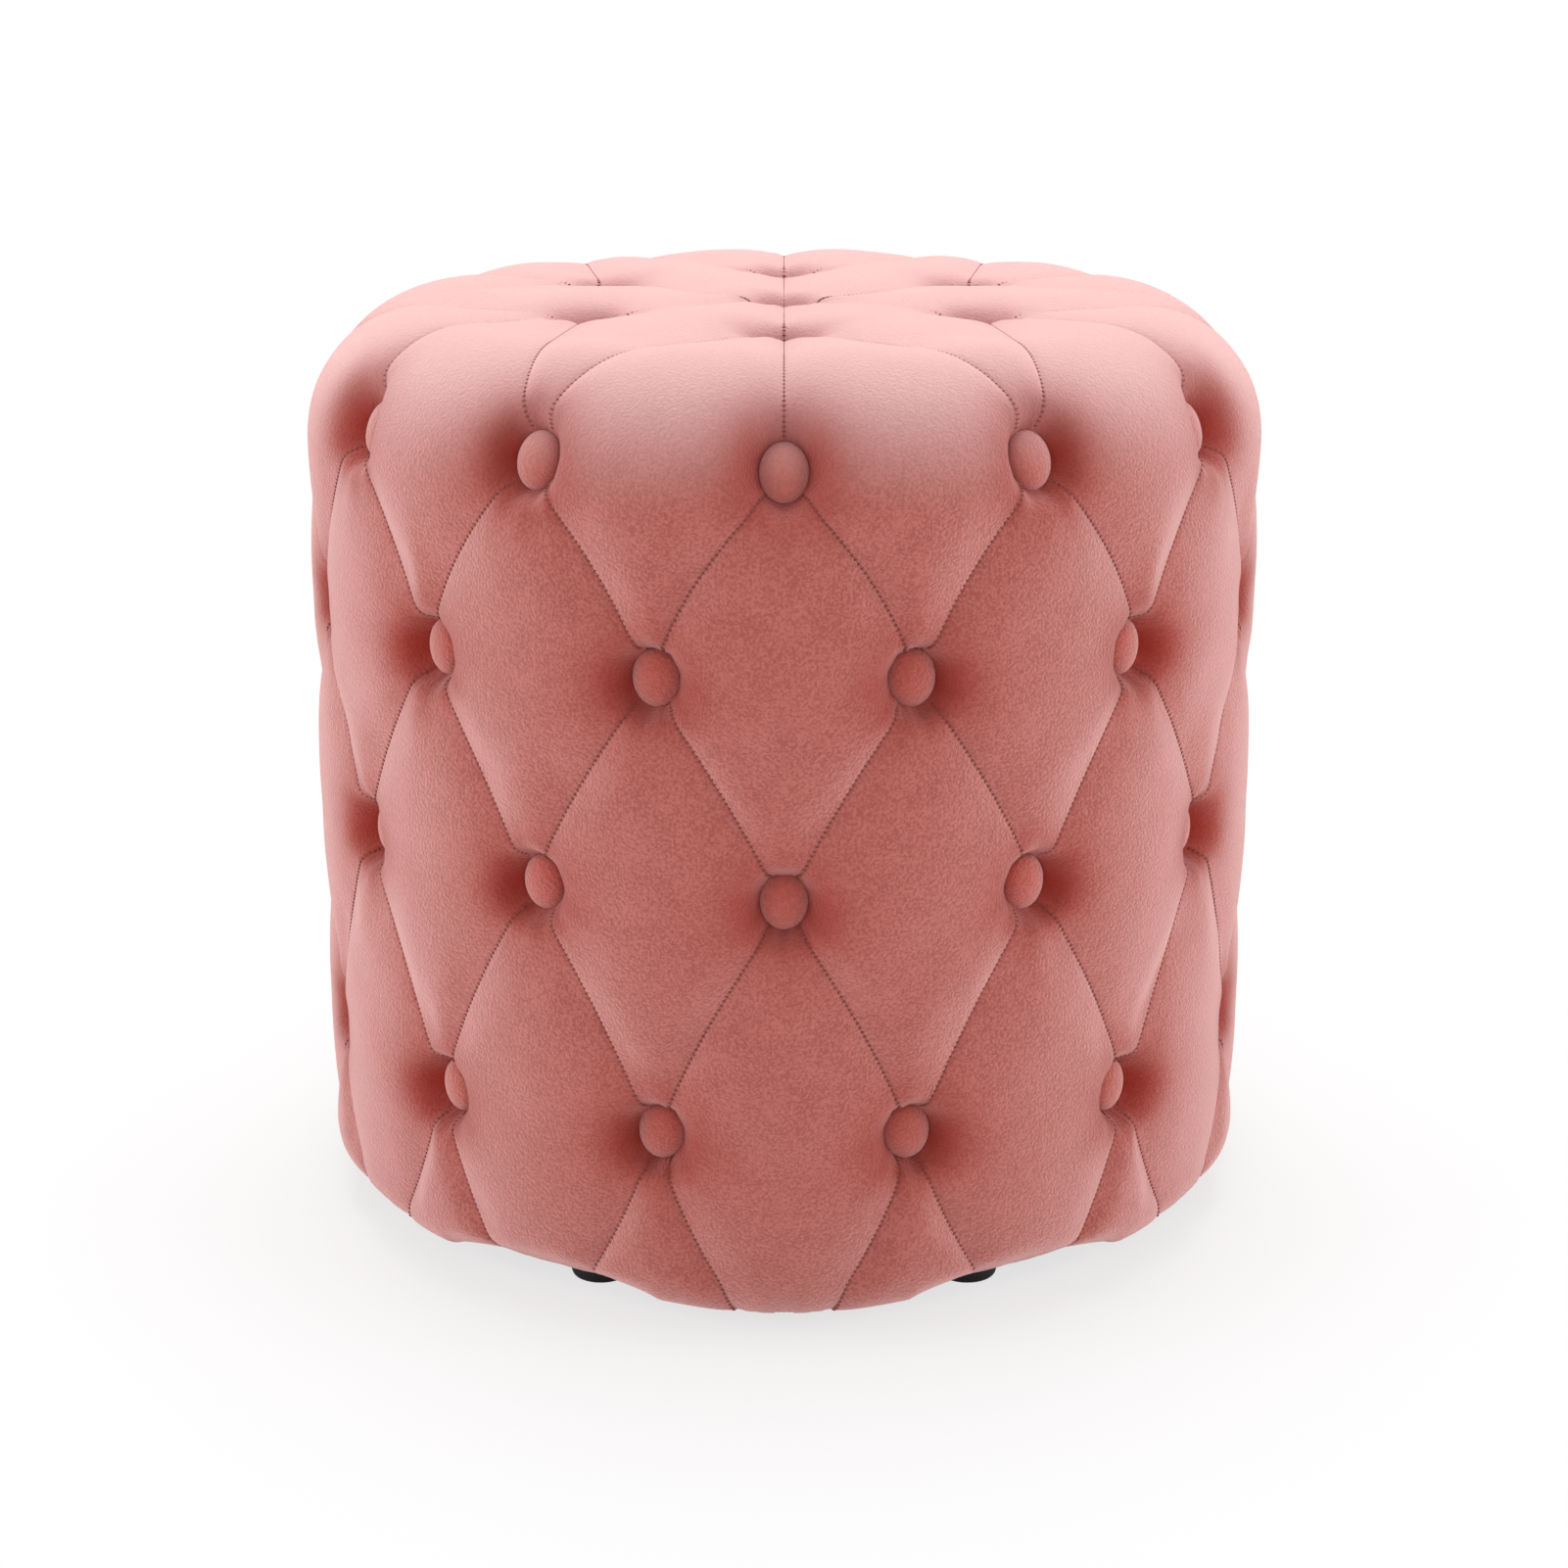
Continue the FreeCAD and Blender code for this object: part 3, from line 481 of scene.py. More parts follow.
def pad_height(places, buttons, crown):
    """Height of a pad over the skin, drawn down at its buttons and rounded under at the hem."""
    look = sizes()
    points = on_skin(places[..., 0], places[..., 1], 0.0)
    gap, bearing = button_gap(points, buttons)
    folds = np.sin(bearing * PUCKERS_ROUND + points[..., 0] * PUCKER_SHIFT)
    puckers = PUCKER_DEPTH * np.exp(-gap / PUCKER_REACH) * folds
    # The pads stand closer to a button above and below it than on its left and right.
    reach = look.dimple_reach * ((1 - DIMPLE_NARROWING) + DIMPLE_NARROWING * np.cos(bearing) ** 2)
    dimple = BUTTON_SEAT + look.dimple_depth * (1 - np.exp(-gap / reach))
    height = soft_min(crown, dimple, DIMPLE_BLEND) + puckers
    return soft_min(height, hem_cap(places[..., 0], places[..., 1]), HEM_BLEND)


# Meshes

def new_piece(name, points, edges, faces):
    """A new object made of points, edges and faces."""
    mesh = bpy.data.meshes.new(name)
    mesh.from_pydata(points, edges, faces)
    piece = bpy.data.objects.new(name, mesh)
    bpy.context.collection.objects.link(piece)
    return piece


def select_only(piece):
    """Makes a piece the one that the operators work on."""
    bpy.ops.object.select_all(action="DESELECT")
    piece.select_set(True)
    bpy.context.view_layer.objects.active = piece


def points_of(piece):
    """All the points of a piece, as rows."""
    flat = np.empty(len(piece.data.vertices) * 3)
    piece.data.vertices.foreach_get("co", flat)
    return flat.reshape(-1, 3)


def move_points(piece, points):
    """Puts all the points of a piece in new places."""
    piece.data.vertices.foreach_set("co", points.ravel())
    piece.data.update()


def place_piece(piece, node, finish):
    """Ties a finished piece to its place, its solid and its finish."""
    piece.data.materials.clear()
    piece.data.materials.append(bpy.data.materials[finish])
    if node:
        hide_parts(node)
    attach(piece, "root")


def face_outwards(piece):
    """Turns each face so that it looks away from the drum's middle."""
    shape = bmesh.new()
    shape.from_mesh(piece.data)
    middle = Vector((0, 0, DRUM_MIDDLE))
    inward = [f for f in shape.faces if f.normal.dot(f.calc_center_median() - middle) < 0]
    bmesh.ops.reverse_faces(shape, faces=inward)
    shape.to_mesh(piece.data)
    shape.free()


def blow_up(piece, held):
    """Blows cloth up from its held points and calms its ripples. No point moves further than the cap."""
    start = points_of(piece)
    group = piece.vertex_groups.new(name="held")
    group.add(np.flatnonzero(held).tolist(), 1.0, "REPLACE")
    blown = piece.modifiers.new("Blown up", "CLOTH")
    cloth = blown.settings
    cloth.quality = 6
    cloth.mass = 0.3
    cloth.tension_stiffness = 15
    cloth.compression_stiffness = 15
    cloth.shear_stiffness = 8
    cloth.bending_stiffness = 0.6
    cloth.air_damping = 4
    cloth.vertex_group_mass = "held"
    cloth.shrink_min = -0.008
    cloth.use_pressure = True
    cloth.uniform_pressure_force = 4
    cloth.effector_weights.gravity = 0
    blown.point_cache.frame_start = 1
    blown.point_cache.frame_end = CLOTH_FRAMES
    for frame_number in range(1, CLOTH_FRAMES + 1):
        bpy.context.scene.frame_set(frame_number)
    select_only(piece)
    bpy.ops.object.modifier_apply(modifier=blown.name)
    bpy.context.scene.frame_set(1)
    piece.vertex_groups.remove(piece.vertex_groups["held"])
    moved = (points_of(piece) - start).reshape(-1, GRID + 1, GRID + 1, 3)
    for _ in range(CLOTH_CALM):
        sides = moved[:, :-2, 1:-1] + moved[:, 2:, 1:-1] + moved[:, 1:-1, :-2] + moved[:, 1:-1, 2:]
        moved[:, 1:-1, 1:-1] = sides / 4
    moved = moved.reshape(-1, 3)
    reach = np.linalg.norm(moved, axis=1, keepdims=True)
    moved *= np.minimum(1, CLOTH_CAP / np.maximum(reach, 1e-9))
    move_points(piece, start + moved)


def rims(edges):
    """The points of each closed rim among some edges."""
    near = {}
    for edge in edges:
        here, there = edge.verts
        near.setdefault(here, []).append(there)
        near.setdefault(there, []).append(here)
    while near:
        rim = [next(iter(near))]
        waiting = near.pop(rim[0])
        while waiting:
            vert = waiting.pop()
            if vert in near:
                rim.append(vert)
                waiting += near.pop(vert)
        yield rim


def close_back(piece):
    """Turns each open pad down at its seams and closes it behind, just clear of the lining."""
    shape = bmesh.new()
    shape.from_mesh(piece.data)
    edges = [edge for edge in shape.edges if edge.is_boundary]
    for edge in edges:
        edge.smooth = False
    for share in BACK_RINGS:
        ring = bmesh.ops.extrude_edge_only(shape, edges=edges)["geom"]
        edges = [part for part in ring if isinstance(part, bmesh.types.BMEdge) and part.is_boundary]
        for rim in rims(edges):
            angle, run = under_skin(np.array([vert.co for vert in rim]))
            plan = to_plan(np.stack((angle, run), axis=-1))
            middle = plan.mean(axis=0)
            angle, run = from_plan(middle + (plan - middle) * share).T
            height = BACK * np.clip(run / HEM_CURL, BACK_AT_HEM, 1)
            for vert, place in zip(rim, on_skin(angle, run, height)):
                vert.co = place
    ends = dict.fromkeys(vert for edge in edges for vert in edge.verts)
    bmesh.ops.remove_doubles(shape, verts=list(ends), dist=1e-6)
    bmesh.ops.recalc_face_normals(shape, faces=shape.faces)
    shape.to_mesh(piece.data)
    shape.free()


def draw_pad(edges, buttons, flat):
    """Points of one pad's grid, with which of them are held and how much painted shade each gets beside the
    buttons.
    """
    t = spaced(GRID)
    loose = full(t)[:, None] * full(t)[None]
    places = inside(edges, inset(t), flat)
    angle, run = places[..., 0], places[..., 1]
    spots = on_skin(angle, run, 0.0)
    swell = [noise.noise(Vector(spot) * SWELLS_PER_METRE) for spot in spots.reshape(-1, 3)]
    uneven_height = np.array(swell).reshape(loose.shape) * PAD_UNEVEN
    low = seam_height(run)
    crown = low + (sizes().pad_height - low + uneven_height) * loose
    points = on_skin(angle, run, pad_height(places, buttons, crown))
    edge = np.ones(loose.shape, dtype=bool)
    edge[1:-1, 1:-1] = False
    gap, bearing = button_gap(spots, buttons)
    held = edge | (gap < HELD_BY_BUTTON)
    # Painted shade in the wells: strongest left and right of a button, weaker above and below it, and weaker
    # on the top.
    sideways = (1 - PAINTED_SHADE_SIDEWAYS) + PAINTED_SHADE_SIDEWAYS * np.cos(bearing) ** 2
    pressed = np.exp(-(gap / PAINTED_SHADE_REACH) ** PAINTED_SHADE_POWER) * sideways
    pressed = pressed * np.where(run > TOP_RUN, PAINTED_SHADE_ON_TOP, 1.0)
    return points.reshape(-1, 3), held.ravel(), pressed.ravel()


def pads(name, node, patches, flat):
    """One piece of like pads, each a grid drawn over its place and blown up as cloth."""
    drawn = [draw_pad(edges, buttons, flat) for edges, buttons in patches]
    points, held, pressed = [np.concatenate(rows) for rows in zip(*drawn)]
    first = np.arange(GRID * (GRID + 1)).reshape(GRID, GRID + 1)[:, :-1]
    cells = np.stack((first, first + GRID + 1, first + GRID + 2, first + 1), axis=-1).reshape(-1, 4)
    faces = np.concatenate([cells + number * (GRID + 1) ** 2 for number in range(len(patches))])
    piece = new_piece(name, points.tolist(), [], faces.tolist())
    # The painted shade goes to the shader as a point attribute.
    piece.data.attributes.new("pressed", "FLOAT", "POINT").data.foreach_set("value", pressed)
    face_outwards(piece)
    blow_up(piece, held)
    select_only(piece)
    finer = piece.modifiers.new("Finer cloth", "SUBSURF")
    finer.levels = 1
    finer.render_levels = 1
    finer.boundary_smooth = "PRESERVE_CORNERS"
    bpy.ops.object.modifier_apply(modifier=finer.name)
    bpy.ops.object.shade_smooth()
    close_back(piece)
    place_piece(piece, node, "Cut-pile velvet")


def add_cap(shape, place):
    """Adds one covered button to a shape: an oval dome, tucked in a little behind."""
    look = sizes()
    foot, around, up, out = button_frame(place)
    turn = Matrix((around, up, out)).transposed().to_4x4()
    turn.translation = foot - out * CAP_SUNK
    for vert in bmesh.ops.create_uvsphere(shape, u_segments=32, v_segments=16, radius=1)["verts"]:
        x, y, z = vert.co
        tuck = 1 if z > 0 else 1 + CAP_TUCK * z
        rise = math.copysign(abs(z) ** CAP_DOME, z) * (look.button_rise if z > 0 else CAP_UNDERSIDE)
        vert.co = turn @ Vector((x * tuck * look.button_width / 2, y * tuck * look.button_tall / 2, rise))


def sewn_seams():
    """Every seam of the cover, with the buttons at its ends."""
    seams = []
    for here in ON_ROWS:
        for way in (-1, 1):
            side = here + way * STEP / 2
            first, second = (here, ROW_1), (side, ROW_2)
            third, fourth = (here, ROW_3), (side, ROW_4)
            for upper, lower, bow in ((first, second, BOW_1), (second, third, BOW_2), (third, fourth, BOW_3)):
                seams.append((seam(upper, lower, bow), (upper, lower)))
            hem = (here + way * hem_reach(HEM_END), HEM_END)
            seams.append((seam(fourth, hem, BOW_HEM), (fourth,)))
    for here in RING_ANGLES:
        first, ring, middle = (here, ROW_1), (here, RING), (here, MIDDLE_RUN)
        seams.append((seam(first, ring), (first, ring)))
        seams.append((plan_seam(ring, middle), (ring, middle)))
        for way in (-1, 1):
            first = (here + way * STEP, ROW_1)
            seams.append((plan_seam(first, ring), (first, ring)))
    return seams


def spindle():
    """Points and faces of one stitch: a four-sided spindle that lies across the seam."""
    half = STITCH_LENGTH / 2
    ring = np.array([(0, 1), (1, 0), (0, -1), (-1, 0)]) * sizes().stitch_thread / 2
    stations = ((-half, STITCH_TAPER), (0, 1), (half, STITCH_TAPER))
    points = [(x, y * share, z * share) for x, share in stations for y, z in ring]
    around = [(i, (i + 1) % 4, (i + 1) % 4 + 4, i + 4) for i in range(4)]
    onward = [tuple(corner + 4 for corner in side) for side in around]
    return np.array(points), np.array(around + onward + [(3, 2, 1, 0), (8, 9, 10, 11)])


def unit(direction):
    """A direction made one long."""
    return direction / np.linalg.norm(direction)


def sew(line, buttons, stitch):
    """Points of the stitches along one seam, clear of its buttons and of the turned-under hem."""
    pitch = sizes().stitch_pitch
    places = line(np.linspace(0, 1, SEAM_STEPS + 1))
    angle, run = places[:, 0], places[:, 1]
    rise = seam_height(run)
    by_button = button_gap(on_skin(angle, run, 0.0), buttons)[0] < STITCH_CLEAR
    turned_under = hem_cap(angle, run) < rise + STITCH_CLEAR
    # The seams close over their stitches on the top.
    sunk = STITCH_SUNK * np.clip((run - SIDE_RUN) / BEND_RUN, 0, 1)
    points = on_skin(angle, run, pad_height(places, buttons, rise) + STITCH_PROUD - sunk)
    reach = np.concatenate(([0], np.cumsum(np.linalg.norm(np.diff(points, axis=0), axis=1))))
    lean = skin(run)[2]
    out = np.stack((np.sin(angle) * np.cos(lean), -np.cos(angle) * np.cos(lean), np.sin(lean)), axis=-1)
    stitches = []
    for along in np.arange(pitch, reach[-1] - pitch, pitch):
        i = int(np.searchsorted(reach, along))
        if by_button[i] or turned_under[i]:
            continue
        ahead = unit(points[min(i + 2, SEAM_STEPS)] - points[i - 2])
        across = unit(np.cross(ahead, out[i]))
        share = (along - reach[i - 1]) / (reach[i] - reach[i - 1])
        spot = points[i - 1] + (points[i] - points[i - 1]) * share
        stitches.append(spot + stitch @ np.stack((across, ahead, np.cross(across, ahead))))
    return stitches


def round_corner(radius, level, reach, start, end, steps=12):
    """Points of a round corner about a middle, from one slope to another, in degrees."""
    slopes = np.radians(np.linspace(start, end, steps + 1))
    return [(radius + reach * math.cos(s), level + reach * math.sin(s)) for s in slopes]


def domed(outer, top, thick):
    """Profile from the outer side over the shoulder to the middle of the top, and back inside."""
    return (round_corner(FLAT_RADIUS, SHOULDER_LEVEL, outer - FLAT_RADIUS, 0, 90)
            + [(0, top), (0, top - thick)]
            + round_corner(FLAT_RADIUS, SHOULDER_LEVEL, outer - thick - FLAT_RADIUS, 90, 0))


def turned(name, profile, steps=120):
    """A closed profile of radius and height spun round the drum's axis."""
    count = len(profile)
    piece = new_piece(name, [(r, 0, z) for r, z in profile], [(i, (i + 1) % count) for i in range(count)], [])
    select_only(piece)
    bpy.ops.object.mode_set(mode="EDIT")
    bpy.ops.mesh.select_all(action="SELECT")
    bpy.ops.mesh.spin(steps=steps, angle=2 * math.pi, center=(0, 0, 0), axis=(0, 0, 1))
    bpy.ops.mesh.select_all(action="SELECT")
    bpy.ops.mesh.remove_doubles(threshold=1e-5)
    bpy.ops.mesh.normals_make_consistent(inside=False)
    bpy.ops.object.mode_set(mode="OBJECT")
    bpy.ops.object.shade_smooth_by_angle(angle=math.radians(40))
    return piece


def uneven(piece, depth, width):
    """Moves a soft surface in and out a little, the same way each run."""
    noise.seed_set(NOISE_SEED)
    points = points_of(piece)
    for point in points:
        point += np.array(noise.noise_vector(Vector(point) / width)) * depth
    move_points(piece, points)


# Materials

def add(tree, kind, sockets=(), **settings):
    """Adds a shader node, sets its properties, and sets or links its sockets."""
    node = tree.nodes.new("ShaderNode" + kind)
    for name, value in settings.items():
        setattr(node, name, value)
    for name, value in dict(sockets).items():
        if isinstance(value, bpy.types.NodeSocket):
            tree.links.new(value, node.inputs[name])
        else:
            node.inputs[name].default_value = value
    return node


def material(name):
    """The empty node tree of a new material."""
    made = bpy.data.materials.new(name)
    made.use_nodes = True
    made.node_tree.nodes.clear()
    return made.node_tree


def object_place(tree):
    """The place of a shaded point on its object."""
    return add(tree, "TexCoord").outputs["Object"]


def height_of(tree, vector):
    """The upright part of a vector."""
    return add(tree, "SeparateXYZ", {"Vector": vector}).outputs["Z"]


def flecks(tree, place, width, detail):
    """A noise with grains of a real width."""
    sockets = {"Vector": place, "Scale": 1 / width, "Detail": detail, "Roughness": 0.6}
    return add(tree, "TexNoise", sockets).outputs["Fac"]


def remap(tree, value, low, high, new_low=0.0, new_high=1.0, change="LINEAR"):
    """A value brought from one range into another."""
    sockets = {"Value": value, "From Min": low, "From Max": high, "To Min": new_low, "To Max": new_high}
    return add(tree, "MapRange", sockets, interpolation_type=change).outputs["Result"]


def maths(tree, operation, first, second=0.0):
    """A sum, product or the like."""
    return add(tree, "Math", {0: first, 1: second}, operation=operation).outputs[0]


def mix(tree, share, first, second):
    """A mix of two colours."""
    return add(tree, "Mix", {0: share, 6: first, 7: second}, data_type="RGBA").outputs[2]


def bumped(tree, height, strength, depth):
    """The normal of a surface with small bumps."""
    return add(tree, "Bump", {"Strength": strength, "Distance": depth, "Height": height}).outputs["Normal"]


def surface(tree, sockets):
    """Ends a material with its shader."""
    shader = add(tree, "BsdfPrincipled", sockets)
    add(tree, "OutputMaterial", {"Surface": shader.outputs["BSDF"]})


def darker(tint, share):
    """A shade of a colour."""
    return tuple(part * share for part in tint[:3]) + (1.0,)


def velvet(name, light, shade, painted_sheen, sheen):
    """Cut-pile velvet with a mottle in the pile, painted sheen where seen at a slant, painted light on the
    top and painted shade by the buttons.
    """
    look = colours()
    tree = material(name)
    place = object_place(tree)
    # Brushed patches are 14 mm across. The pile is drawn 1.3 mm coarse so that it shows in the render.
    brushed = flecks(tree, place, 0.014, detail=4.0)
    pile = flecks(tree, place, 0.0013, detail=1.0)
    both = add(tree, "Mix", {0: 0.75, 2: brushed, 3: pile}, data_type="FLOAT").outputs[0]
    tint = mix(tree, remap(tree, both, 0.39, 0.61), shade, light)
    # Painted light: the colour pales with height over the shoulder and the top, where the top lamp falls.
    level = height_of(tree, place)
    painted_light_share = remap(tree, level, SHOULDER_LEVEL - 0.005, SEAM_TOP + 0.016, new_high=0.6, change="SMOOTHSTEP")
    with_painted_light = mix(tree, painted_light_share, tint, look.velvet_painted_light)
    normal = bumped(tree, pile, 0.7, 0.0008)
    # Painted sheen: the colour pales where the surface is seen at a slant, but not in the painted shade
    # beside the buttons.
    pressed = add(tree, "Attribute", attribute_name="pressed").outputs["Fac"]
    facing = add(tree, "LayerWeight", {"Blend": 0.5, "Normal": normal}).outputs["Facing"]
    slant = maths(tree, "POWER", facing, 1.4)
    painted_sheen_share = maths(tree, "MULTIPLY", slant, remap(tree, pressed, 0.0, 1.0, painted_sheen, 0.0))
    pale = mix(tree, painted_sheen_share, with_painted_light, look.velvet_painted_sheen)
    # Painted shade darkens the wells beside the buttons.
    surface(tree, {
        "Base Color": mix(tree, pressed, pale, look.velvet_painted_shade), "Roughness": 0.9,
        "Specular IOR Level": 0.1, "Sheen Weight": sheen, "Sheen Roughness": 0.55,
        "Sheen Tint": look.velvet_sheen, "Normal": normal})


def speckled(name, tint, shade, grain, rough, depth, stretch=(1, 1, 1), metallic=0.0, sheen=0.0):
    """A material with an even grain: a noise of a real size moves colour, roughness and bump."""
    tree = material(name)
    laid = add(tree, "Mapping", {"Vector": object_place(tree), "Scale": stretch}).outputs["Vector"]
    fleck = flecks(tree, laid, grain, detail=5.0)
    surface(tree, {
        "Base Color": mix(tree, remap(tree, fleck, 0.3, 0.7), darker(tint, shade), tint),
        "Roughness": remap(tree, fleck, 0.0, 1.0, rough - 0.08, rough + 0.08),
        "Metallic": metallic, "Sheen Weight": sheen, "Normal": bumped(tree, fleck, 0.4, depth)})


def plywood(name, tint):
    """Birch plywood: stretched grain on the faces, and 1.5 mm plies that change shade on the cut edge."""
    tree = material(name)
    place = object_place(tree)
    laid = add(tree, "Mapping", {"Vector": place, "Scale": (1, 0.07, 1)}).outputs["Vector"]
    fibres = flecks(tree, laid, 0.003, detail=6.0)
    face = mix(tree, fibres, darker(tint, 0.72), tint)
    two_plies = 0.003
    wave = maths(tree, "SINE", maths(tree, "MULTIPLY", height_of(tree, place), 2 * math.pi / two_plies))
    cut = mix(tree, remap(tree, wave, -0.2, 0.2), darker(tint, 0.5), tint)
    normal = add(tree, "NewGeometry").outputs["Normal"]
    upright = maths(tree, "ABSOLUTE", height_of(tree, normal))
    surface(tree, {"Base Color": mix(tree, upright, cut, face), "Roughness": 0.65,
                   "Normal": bumped(tree, fibres, 0.3, 0.0003)})


def woven(name, tint, pitch, sheen):
    """A plain-woven cloth: two crossed sets of threads that change shade and stand up from the ground."""
    tree = material(name)
    bands_per_scale = 3.2
    sockets = {"Vector": object_place(tree), "Scale": 1 / pitch / bands_per_scale,
               "Distortion": 1.2, "Detail": 2.0, "Detail Scale": 2.0}
    warp, weft = [add(tree, "TexWave", sockets, bands_direction=way).outputs["Fac"] for way in "XY"]
    threads = maths(tree, "MULTIPLY", warp, weft)
    surface(tree, {"Base Color": mix(tree, threads, darker(tint, 0.6), tint), "Roughness": 0.9,
                   "Sheen Weight": sheen, "Normal": bumped(tree, threads, 0.5, 0.0004)})


class OTTOMAN_OT_materials(bpy.types.Operator):
    """Makes the materials"""
    bl_idname = "ottoman.materials"
    bl_label = "Materials"

    def execute(self, context):
        look = colours()
        # Both velvets carry painted sheen and painted light on the top; the pads' velvet also carries painted
        # shade in the wells.
        velvet("Cut-pile velvet", look.velvet, look.velvet_shade, painted_sheen=0.75, sheen=0.45)
        velvet("Velvet stretched over buttons", look.velvet_button, darker(look.velvet_button, 0.8),
               painted_sheen=0.6, sheen=0.2)
        plywood("Birch plywood", look.plywood)
        # Cotton threads 0.6 mm apart, drawn at 1.2 mm so that they show.
        woven("Woven cotton lining", look.lining, pitch=0.0012, sheen=0.2)
        # Spun-bonded cloth: embossed points 2 mm apart in a dull black web.
        woven("Spun-bonded dust cloth", look.dust_cloth, pitch=0.002, sheen=0.3)
        # Twisted thread: a dull sheen and a turn every half millimetre.
        speckled("Polyester sewing thread", look.thread, 0.75, grain=0.0005, rough=0.7, depth=0.0001)
        # Lofty fibres that lie in all directions.
        speckled("Polyester wadding", look.wadding, 0.8, grain=0.002, rough=0.95, depth=0.0008, sheen=0.4)
        # Open cells about 0.8 mm wide on a sawn face.
        speckled("Cut seat foam", look.foam, 0.78, grain=0.0008, rough=0.95, depth=0.0004)
        # Straight grain along the post, a ring every 3 mm.
        speckled("Planed spruce", look.softwood, 0.68, grain=0.003, rough=0.6, depth=0.0002,
                 stretch=(1, 1, 0.05))
        # Pressed fibres with a smooth waxy face.
        speckled("Hardboard", look.fibreboard, 0.75, grain=0.0015, rough=0.45, depth=0.0001)
        # Bright zinc with a fine crystal grain.
        speckled("Zinc-plated steel", look.steel, 0.85, grain=0.001, rough=0.35, depth=0.00003, metallic=1.0)
        # Waxed fibres twisted along the line.
        speckled("Waxed flax twine", look.twine, 0.65, grain=0.0006, rough=0.6, depth=0.0002,
                 stretch=(3, 3, 1))
        # Injection-moulded nylon, milky and slightly mottled.
        speckled("Moulded nylon", look.washer, 0.92, grain=0.002, rough=0.4, depth=0.00005)
        # Injection-moulded plastic with a fine spark-eroded texture that dulls the gloss.
        speckled("Moulded black plastic", look.foot, 0.7, grain=0.0007, rough=0.42, depth=0.00008)
        return {"FINISHED"}


class OTTOMAN_OT_velvet_pads(bpy.types.Operator):
    """Draws the padded velvet diamonds over side, shoulder and top"""
    bl_idname = "ottoman.velvet_pads"
    bl_label = "Velvet pads"

    def execute(self, context):
        pads("velvet_pads_upper", "velvet_panels_upper",
             [diamond(a, ROW_1, ROW_2, ROW_3, BOW_1, BOW_2) for a in ON_ROWS], True)
        pads("velvet_pads_middle", "velvet_panels_middle",
             [diamond(a, ROW_2, ROW_3, ROW_4, BOW_2, BOW_3) for a in BETWEEN], True)
        pads("velvet_pads_lower", "velvet_panels_lower", [hem_diamond(a) for a in ON_ROWS], True)
        pads("velvet_pads_hem", "velvet_panels_hem", [hem_triangle(a) for a in BETWEEN], True)
        pads("velvet_pads_shoulder", "velvet_panels_shoulder",
             [shoulder(a, way) for a in RING_ANGLES for way in (-1, 1)], False)
        pads("velvet_pads_top", "velvet_panels_top", [kite(a + STEP) for a in RING_ANGLES], False)
        return {"FINISHED"}


class OTTOMAN_OT_stitches(bpy.types.Operator):
    """Sews the seams between the pads"""
    bl_idname = "ottoman.stitches"
    bl_label = "Stitches"

    def execute(self, context):
        stitch, sides = spindle()
        stitches = [one for line, buttons in sewn_seams() for one in sew(line, buttons, stitch)]
        points = np.concatenate(stitches)
        faces = np.concatenate([sides + len(stitch) * number for number in range(len(stitches))])
        piece = new_piece("seam_stitches", points.tolist(), [], faces.tolist())
        select_only(piece)
        bpy.ops.object.mode_set(mode="EDIT")
        bpy.ops.mesh.select_all(action="SELECT")
        bpy.ops.mesh.normals_make_consistent(inside=False)
        bpy.ops.object.mode_set(mode="OBJECT")
        bpy.ops.object.shade_smooth()
        place_piece(piece, None, "Polyester sewing thread")
        return {"FINISHED"}


class OTTOMAN_OT_buttons(bpy.types.Operator):
    """Sets the covered buttons in their dimples"""
    bl_idname = "ottoman.buttons"
    bl_label = "Covered buttons"

    def execute(self, context):
        rows = {
            "side_buttons_row_1": [(angle, ROW_1) for angle in ON_ROWS],
            "side_buttons_row_2": [(angle, ROW_2) for angle in BETWEEN],
            "side_buttons_row_3": [(angle, ROW_3) for angle in ON_ROWS],
            "side_buttons_row_4": [(angle, ROW_4) for angle in BETWEEN],
            "top_buttons_ring": [(angle, RING) for angle in RING_ANGLES],
            "top_button_centre": [(0.0, MIDDLE_RUN)],
        }
        for node, places in rows.items():
            shape = bmesh.new()
            for place in places:
                add_cap(shape, place)
            piece = new_piece("covered_" + node, [], [], [])
            shape.to_mesh(piece.data)
            shape.free()
            select_only(piece)
            bpy.ops.object.shade_smooth()
            place_piece(piece, node, "Velvet stretched over buttons")
        return {"FINISHED"}


class OTTOMAN_OT_lining(bpy.types.Operator):
    """Wraps the drum in its quilted lining, with the hem turned under"""
    bl_idname = "ottoman.lining"
    bl_label = "Lining"

    def execute(self, context):
        hem_top = HEM_BOTTOM + HEM_THICK
        curl_radius, curl_level = LINING_RADIUS - LINING_CURL, HEM_BOTTOM + LINING_CURL
        profile = [(HEM_INNER_RADIUS, HEM_BOTTOM)]
        profile += round_corner(curl_radius, curl_level, LINING_CURL, -90, 0, 6)
        profile += domed(LINING_RADIUS, LINING_HIGH[2], LINING_THICK)
        profile += [(LINING_RADIUS - LINING_THICK, hem_top), (HEM_INNER_RADIUS, hem_top)]
        piece = turned("quilted_lining", profile)
        place_piece(piece, "cover_lining", "Woven cotton lining")
        return {"FINISHED"}


